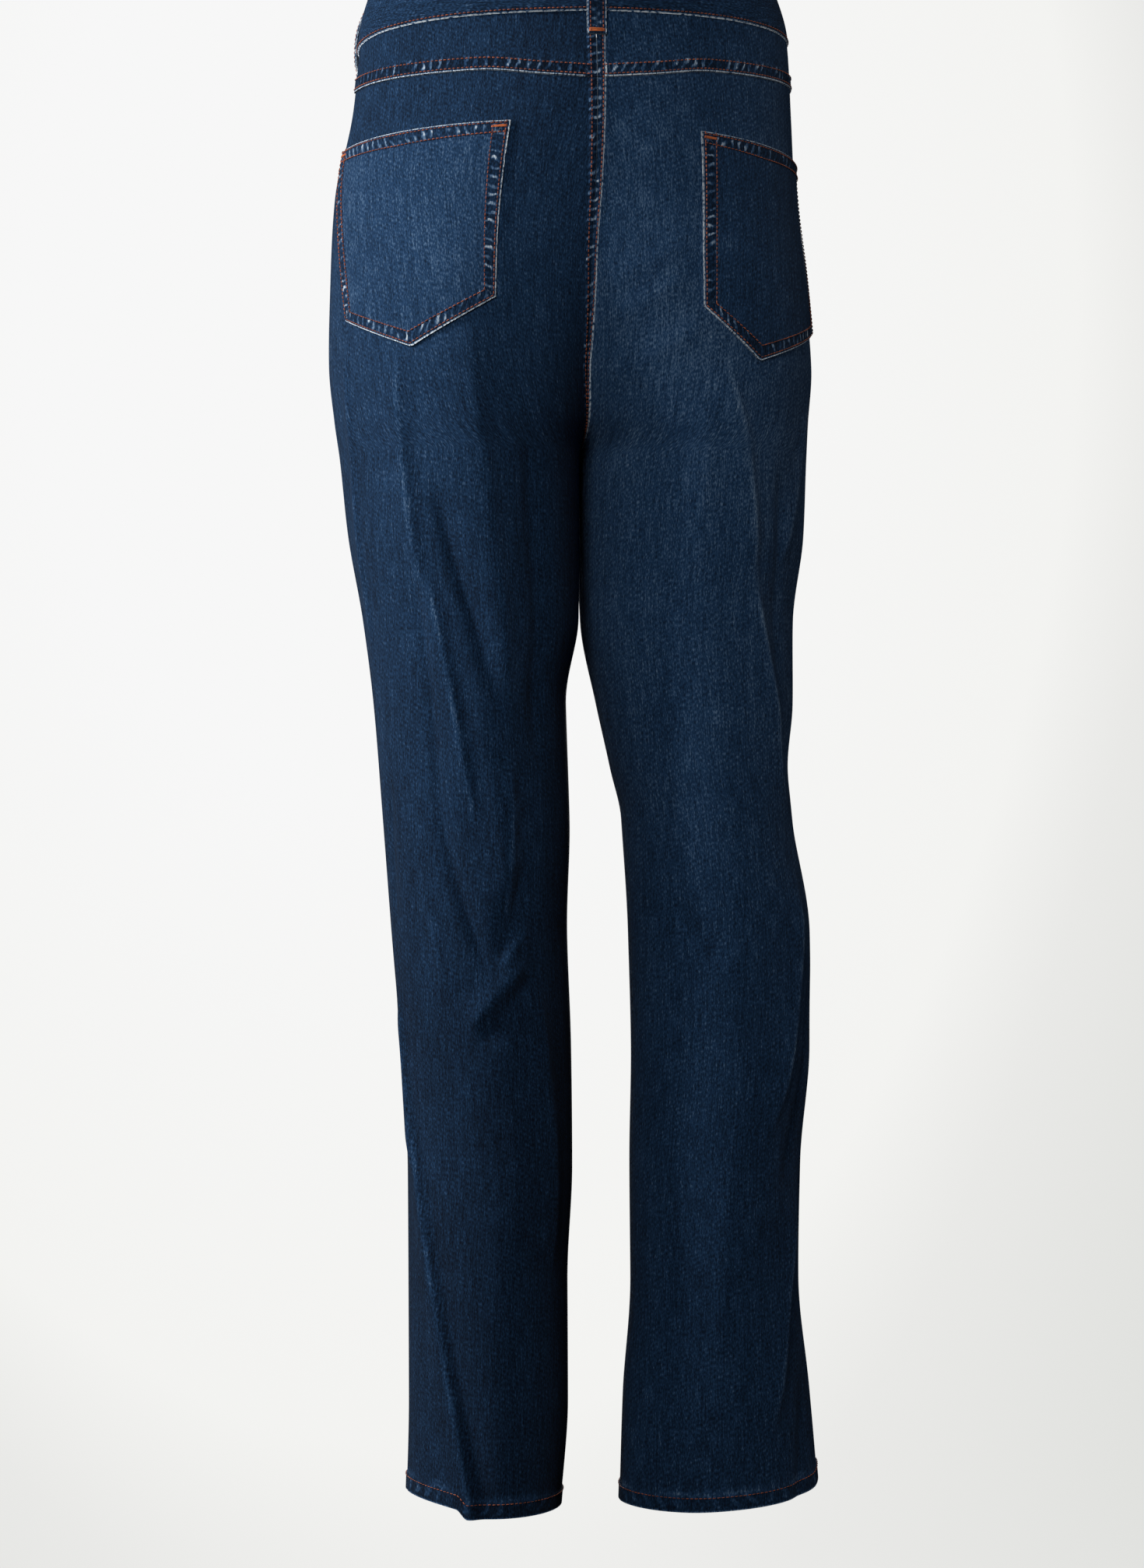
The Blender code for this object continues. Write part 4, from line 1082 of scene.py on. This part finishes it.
def cotton_tape(name, code, code_dark):
    """Herringbone cotton tape: fine ribs, nearly matt."""
    material, tree, shader = blank_material(name)
    here = node(tree, "ShaderNodeUVMap", uv_map="cut_cloth")["UV"]
    # Ribs 0.8 mm apart
    place = node(tree, "ShaderNodeMapping", {"Vector": here, "Scale": (200, 200, 1)})["Vector"]
    rib = node(tree, "ShaderNodeTexWave", {"Vector": place, "Scale": 1.0, "Distortion": 0.8})["Fac"]
    stops = ((0.0, code_dark), (1.0, code))
    colour = node(tree, "ShaderNodeValToRGB", {"Fac": rib}, stops)["Color"]
    tree.links.new(colour, shader.inputs["Base Color"])
    normal = node(tree, "ShaderNodeBump", {"Height": rib, "Strength": 0.5, "Distance": 0.0002})["Normal"]
    tree.links.new(normal, shader.inputs["Normal"])
    shader.inputs["Roughness"].default_value = 0.9
    return material


def brushed_brass(name, code, code_dark):
    """Antique brass: plated, tarnished in patches, lightly brushed."""
    material, tree, shader = blank_material(name)
    here = node(tree, "ShaderNodeTexCoord")["Object"]
    # Tarnish in patches of 3 mm
    patch = node(tree, "ShaderNodeTexNoise", {"Vector": here, "Scale": 330.0, "Detail": 4.0})["Fac"]
    stops = ((0.35, code_dark), (0.65, code))
    colour = node(tree, "ShaderNodeValToRGB", {"Fac": patch}, stops)["Color"]
    tree.links.new(colour, shader.inputs["Base Color"])
    # Brush marks 0.1 mm wide
    place = node(tree, "ShaderNodeMapping", {"Vector": here, "Scale": (9000, 900, 900)})["Vector"]
    mark = node(tree, "ShaderNodeTexNoise", {"Vector": place, "Scale": 1.0, "Detail": 2.0})["Fac"]
    rough = node(tree, "ShaderNodeMapRange", {"Value": mark, "To Min": 0.28, "To Max": 0.48})["Result"]
    tree.links.new(rough, shader.inputs["Roughness"])
    normal = node(tree, "ShaderNodeBump", {"Height": mark, "Strength": 0.15, "Distance": 0.0001})["Normal"]
    tree.links.new(normal, shader.inputs["Normal"])
    shader.inputs["Metallic"].default_value = 1.0
    return material


navy_tape = cotton_tape("navy_cotton_tape", "#1c2740", "#0d1424")
brass = brushed_brass("antique_brass", "#b08a4c", "#6d5228")

fly_top = float(seam_height(WAIST_SEAM, 1, np.array(1.0))) - SEAM_GAP
fly_heights = np.linspace(fly_top, FLY_BOTTOM, 80)
shield = fly_strip("fly_shield", fly_heights, 0.021, -0.0060, DENIM_WALL, outer_denim, "denim", 0.001)
tape = fly_strip("zip_tape", fly_heights[:-6], 0.014, -0.0047, 0.0010, navy_tape, "zip_cotton")

# Teeth: small blocks 1.9 mm apart, in turn from the left and the right
tooth_z = np.arange(fly_top - 0.040, FLY_BOTTOM + 0.012, -0.00095)
corner = np.array([(a, b, c) for a in (-1, 1) for b in (-1, 1) for c in (-1, 1)])
block = np.array([(0, 1, 3, 2), (4, 6, 7, 5), (0, 4, 5, 1), (2, 3, 7, 6), (0, 2, 6, 4), (1, 5, 7, 3)])
tooth_x = np.where(np.arange(len(tooth_z)) % 2 == 0, 0.0009, -0.0009)
across = tooth_x[:, None] + corner[:, 0] * 0.0018
tall = tooth_z[:, None] + corner[:, 1] * 0.00042
deep = -0.0037 + corner[:, 2] * 0.0006
faces = (block[None] + 8 * np.arange(len(tooth_z))[:, None, None]).reshape(-1, 4)
mesh = plain_mesh("zip_teeth", centre_front_point(across, tall, deep), faces)
mesh.validate()
add_piece("zip_teeth", mesh, brass, "brass")

# Slider with its pull hanging down, closed at the top of the chain
slider_top = fly_top - 0.006
heights = slider_top - np.array([0.0, 0.002, 0.006, 0.009, 0.011, 0.0118, 0.013, 0.020, 0.028, 0.030])
half = np.array([0.0022, 0.0032, 0.0040, 0.0038, 0.0032, 0.0014, 0.0018, 0.0026, 0.0026, 0.0018])
z, across = np.meshgrid(heights, np.linspace(-1, 1, 13), indexing="ij")
bulge = 0.0007 * (1 - across ** 4)
mesh = sheet_mesh(
    "zip_slider",
    centre_front_point(across * half[:, None], z, -0.0026 + bulge),
    centre_front_point(across * half[:, None], z, -0.0042),
    np.stack([across, z], -1),
    (z, 1.0),
    0.0,
    0.0,
)
add_piece("zip_slider", mesh, brass, "brass", "zip_slider")


# Waist button: a pressed brass shank button with a rolled rim and a dished middle, riveted
# through the band's outer end, over a thread-bound buttonhole.
BUTTON_RADIUS = 0.0085
BUTTON_HEIGHT = 0.0045
band_middle = fly_top + SEAM_GAP + BAND_HEIGHT / 2
seat_point = whole_waist_point(np.array(0.0), np.array(band_middle), np.array(BAND_OUTSIDE + SEAM_GAP))
facing = outward(1, np.array(-np.pi / 2), np.array(band_middle))
side_way = unit(np.cross(facing, (0.0, 0.0, 1.0)))
up_way = np.cross(side_way, facing)
profile = np.array([
    (0.0, 0.62), (0.30, 0.60), (0.34, 0.66), (0.38, 0.60), (0.58, 0.62), (0.70, 0.70), (0.78, 0.90),
    (0.86, 1.0), (0.94, 0.94), (1.0, 0.76), (1.0, 0.60), (0.94, 0.42), (0.80, 0.34), (0.55, 0.30),
    (0.50, 0.02), (0.0, 0.02),
])
turn = np.linspace(0, 2 * np.pi, 65)[:-1]
radius = profile[:, 0] * BUTTON_RADIUS
height = profile[:, 1] * BUTTON_HEIGHT
turned = (
    seat_point
    + radius[:, None, None] * (np.cos(turn)[None, :, None] * side_way + np.sin(turn)[None, :, None] * up_way)
    + height[:, None, None] * facing
)
index = np.arange(len(profile) * len(turn)).reshape(len(profile), -1)
mesh = plain_mesh("waist_button", turned, ring_faces(index))
shape = bmesh.new()
shape.from_mesh(mesh)
bmesh.ops.remove_doubles(shape, verts=shape.verts, dist=0.00001)
bmesh.ops.recalc_face_normals(shape, faces=shape.faces)
shape.to_mesh(mesh)
shape.free()
mesh.shade_smooth()
add_piece("waist_button", mesh, brass, "brass", "waist_button")


# Studio: a round pale sweep, four soft boxes, and a level camera behind the garment, 11
# degrees to its left. The sweep stands for paper with lamps of its own, so it is a plain
# emitter and throws nothing back on the cloth.
angle = np.radians(11)
FLOOR = -1.75
FLOOR_RADIUS = 3.0
CURVE_RADIUS = 1.4
turn = np.linspace(0, np.pi / 2, 24)
reach = np.concatenate([[0.001], FLOOR_RADIUS + CURVE_RADIUS * np.sin(turn), [4.4]])
rise = np.concatenate([[FLOOR], FLOOR + CURVE_RADIUS * (1 - np.cos(turn)), [4.0]])
round_it = np.linspace(0, 2 * np.pi, 97)[:-1]
points = np.stack([
    reach[:, None] * np.cos(round_it), reach[:, None] * np.sin(round_it), rise[:, None] + 0 * round_it,
], -1)
index = np.arange(len(reach) * len(round_it)).reshape(len(reach), -1)
mesh = plain_mesh("sweep", points, ring_faces(index))
mesh.shade_smooth()
paper = bpy.data.materials.new("lit_paper")
paper.use_nodes = True
tree = paper.node_tree
tree.nodes.clear()
here = node(tree, "ShaderNodeTexCoord")["Object"]
# A painted pool of light: brightest behind the garment's left hip, darker away from there and fastest
# sideways
spread = {"Vector": here, "Location": (0.207, 0.0, -0.098), "Scale": (0.481, 0.0, 0.3205)}
place = node(tree, "ShaderNodeMapping", spread)["Vector"]
far = node(tree, "ShaderNodeVectorMath", {0: place}, operation="LENGTH")["Value"]
stops = ((0.28, "#f7f7f7"), (0.62, "#f3f3f1"), (0.70, "#e9e9e7"), (0.86, "#dedfdc"))
colour = node(tree, "ShaderNodeValToRGB", {"Fac": far}, stops)["Color"]
glow = node(tree, "ShaderNodeEmission", {"Color": colour, "Strength": 1.0})["Emission"]
node(tree, "ShaderNodeOutputMaterial", {"Surface": glow})
mesh.materials.append(paper)
sweep = bpy.data.objects.new("sweep", mesh)
sweep.visible_diffuse = False
sweep.visible_glossy = False
sweep.visible_shadow = False
scene.collection.objects.link(sweep)
sweep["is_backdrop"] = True

# Soft boxes, turned to a point on the garment's middle line: name, degrees left of the camera,
# height, height of that point, width and height, watts. The front one, straight opposite the
# camera, lights only what faces away from it
LAMP_AWAY = 2.5
LAMPS = (
    ("key", 76, 0.85, -0.30, 0.6, 1.4, 76),
    ("fill", 15, 0.60, -0.40, 1.0, 1.2, 29),
    ("weak", -95, 0.20, -0.45, 0.5, 1.6, 8),
    ("front", 180, 0.40, -0.45, 1.2, 1.6, 60),
)
for name, degrees, height, aim, wide, tall, watts in LAMPS:
    light = bpy.data.lights.new(name, "AREA")
    light.shape = "RECTANGLE"
    light.size, light.size_y = wide, tall
    light.energy = watts
    lamp = bpy.data.objects.new(name, light)
    way = angle + np.radians(degrees)
    lamp.location = (LAMP_AWAY * np.sin(way), LAMP_AWAY * np.cos(way), height)
    lamp.rotation_euler = (Vector((0, 0, aim)) - lamp.location).to_track_quat("-Z", "Y").to_euler()
    lamp.visible_camera = False
    scene.collection.objects.link(lamp)

world = bpy.data.worlds.new("studio")
world.use_nodes = True
world.node_tree.nodes["Background"].inputs["Color"].default_value = (0.93, 0.96, 1.0, 1)
world.node_tree.nodes["Background"].inputs["Strength"].default_value = 0.015
scene.world = world
scene.view_settings.view_transform = "Standard"

CAMERA_AWAY = 2.8
SENSOR = 36
METRES_SEEN = 0.000556 * 2014
camera = bpy.data.cameras.new("camera")
camera.sensor_fit = "VERTICAL"
camera.sensor_height = SENSOR
camera.lens = SENSOR * CAMERA_AWAY / METRES_SEEN
lens = bpy.data.objects.new("camera", camera)
lens.location = (CAMERA_AWAY * np.sin(angle), CAMERA_AWAY * np.cos(angle), -0.5555)
lens.rotation_euler = (np.pi / 2, 0, np.pi - angle)
scene.collection.objects.link(lens)
scene.camera = lens

low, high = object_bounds()
